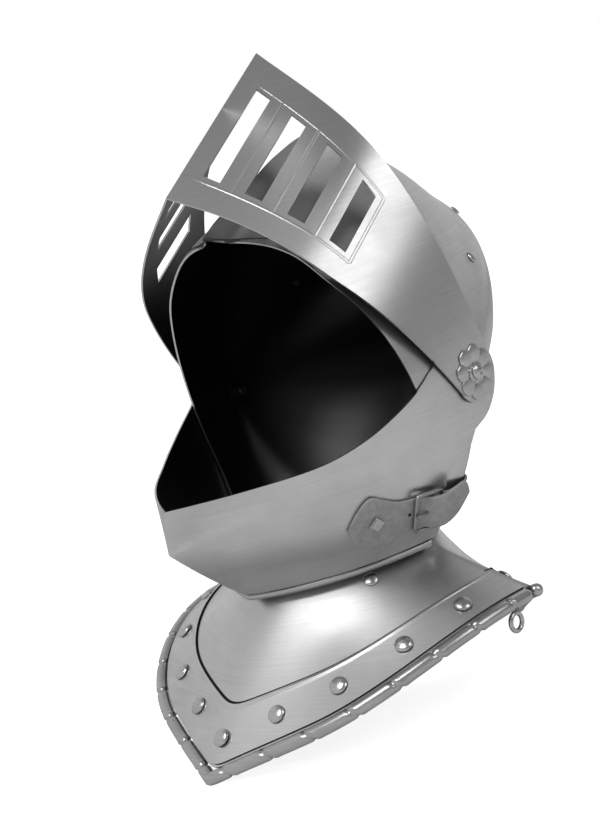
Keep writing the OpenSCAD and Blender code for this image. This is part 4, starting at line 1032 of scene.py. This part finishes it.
def make_floor():
    """A wide white sheet that keeps the helmet's shadow and glows a little to the camera."""
    mesh = bpy.data.meshes.new("floor")
    side = 6.0
    corners = [(-side, -side, 0), (side, -side, 0), (side, side, 0), (-side, side, 0)]
    mesh.from_pydata(corners, [], [(0, 1, 2, 3)])
    floor = bpy.data.objects.new("floor", mesh)
    bpy.context.scene.collection.objects.link(floor)
    material, tree = new_material("white_floor")
    path = add(tree, "ShaderNodeLightPath")
    paper = add(tree, "ShaderNodeBsdfDiffuse", None, {"Color": (0.8, 0.8, 0.8, 1)})
    glow = add(tree, "ShaderNodeEmission", None, {"Color": (1, 1, 1, 1), "Strength": 0.85})
    both = add(tree, "ShaderNodeAddShader", None, {0: (paper, "BSDF"), 1: (glow, "Emission")})
    seen = add(tree, "ShaderNodeMixShader", None, {
        "Fac": (path, "Is Camera Ray"), 1: (paper, "BSDF"), 2: (both, "Shader")})
    add(tree, "ShaderNodeOutputMaterial", None, {"Surface": (seen, "Shader")})
    mesh.materials.append(material)


# How bright the studio is to reflections, and its two darker parts: the way to each, the nearness to that
# way at which it begins and is darkest, and the share of light left there
ROOM = 0.74
DARKER = (((0.5, 0.1, 0.85), 0.3, 0.95, 0.3), ((0.75, 0.65, 0.05), 0.55, 0.95, 0.55))


def make_world():
    """White to the camera. Reflections see a pale studio with a dark ceiling and a dark corner."""
    world = bpy.data.worlds.new("studio")
    bpy.context.scene.world = world
    world.use_nodes = True
    tree = world.node_tree
    tree.nodes.clear()
    path = add(tree, "ShaderNodeLightPath")
    white = add(tree, "ShaderNodeBackground", None, {"Color": (1, 1, 1, 1), "Strength": 1.0})
    where = add(tree, "ShaderNodeTexCoord")
    shades = []
    for aim, start, end, least in DARKER:
        towards = add(tree, "ShaderNodeVectorMath", {"operation": "DOT_PRODUCT"}, {
            0: (where, "Generated"), 1: aim})
        shades.append(add(tree, "ShaderNodeMapRange", None, {
            "Value": (towards, "Value"), "From Min": start, "From Max": end, "To Min": 1.0, "To Max": least}))
    left = add(tree, "ShaderNodeMath", {"operation": "MULTIPLY"}, {
        0: (shades[0], "Result"), 1: (shades[1], "Result")})
    level = add(tree, "ShaderNodeMath", {"operation": "MULTIPLY"}, {0: (left, "Value"), 1: ROOM})
    room = add(tree, "ShaderNodeBackground", None, {"Color": (1, 1, 1, 1), "Strength": (level, "Value")})
    mix = add(tree, "ShaderNodeMixShader", None, {
        "Fac": (path, "Is Camera Ray"), 1: (room, "Background"), 2: (white, "Background")})
    add(tree, "ShaderNodeOutputWorld", None, {"Surface": (mix, "Shader")})


def looking(right, up, back, at):
    """The matrix of a lamp or a camera that stands at a place, with its three axes given."""
    return Matrix([[right[k], up[k], back[k], at[k]] for k in range(3)] + [[0, 0, 0, 1]])


def softbox(name, at, aim, width, height, power):
    """A rectangular lamp, sizes in metres and power in watts, turned to its aim."""
    lamp = bpy.data.lights.new(name, "AREA")
    lamp.shape, lamp.size, lamp.size_y, lamp.energy = "RECTANGLE", width, height, power
    thing = bpy.data.objects.new(name, lamp)
    bpy.context.scene.collection.objects.link(thing)
    back = np.asarray(at, float) - np.asarray(aim, float)
    back /= np.linalg.norm(back)
    right = np.cross([0, 0, 1.0], back)
    right /= np.linalg.norm(right)
    up = np.cross(back, right)
    thing.matrix_world = looking(right, up, back, at)


def make_camera():
    """The camera whose view was worked out from the photograph's own perspective."""
    data = bpy.data.cameras.new("camera")
    data.sensor_width, data.lens = 36.0, 74.27
    data.clip_start, data.clip_end = 0.05, 50
    camera = bpy.data.objects.new("camera", data)
    bpy.context.scene.collection.objects.link(camera)
    c, s = math.cos(TILT), math.sin(TILT)
    lean = Matrix([[1, 0, 0], [0, c, s], [0, -s, c]])
    right, up, back = (lean @ Vector(v) for v in (
        (0.70679, 0.68490, -0.17707), (0.04354, 0.20772, 0.97722), (0.70608, -0.69840, 0.11699)))
    at = Vector((0, PIVOT_Y / 1000, PIVOT_Z / 1000)) + lean @ Vector((0.7234, -0.7588, 0.1057))
    camera.matrix_world = looking(right, up, back, at)
    bpy.context.scene.camera = camera


make_floor()
make_world()
softbox("key_lamp", (0.25, -0.95, 1.7), (0, 0, 0.15), 0.8, 0.8, 14)
softbox("side_lamp", (1.3, 0.3, 1.1), (0, 0, 0.25), 0.7, 0.9, 5.5)
make_camera()
bpy.context.scene.view_settings.view_transform = "Standard"
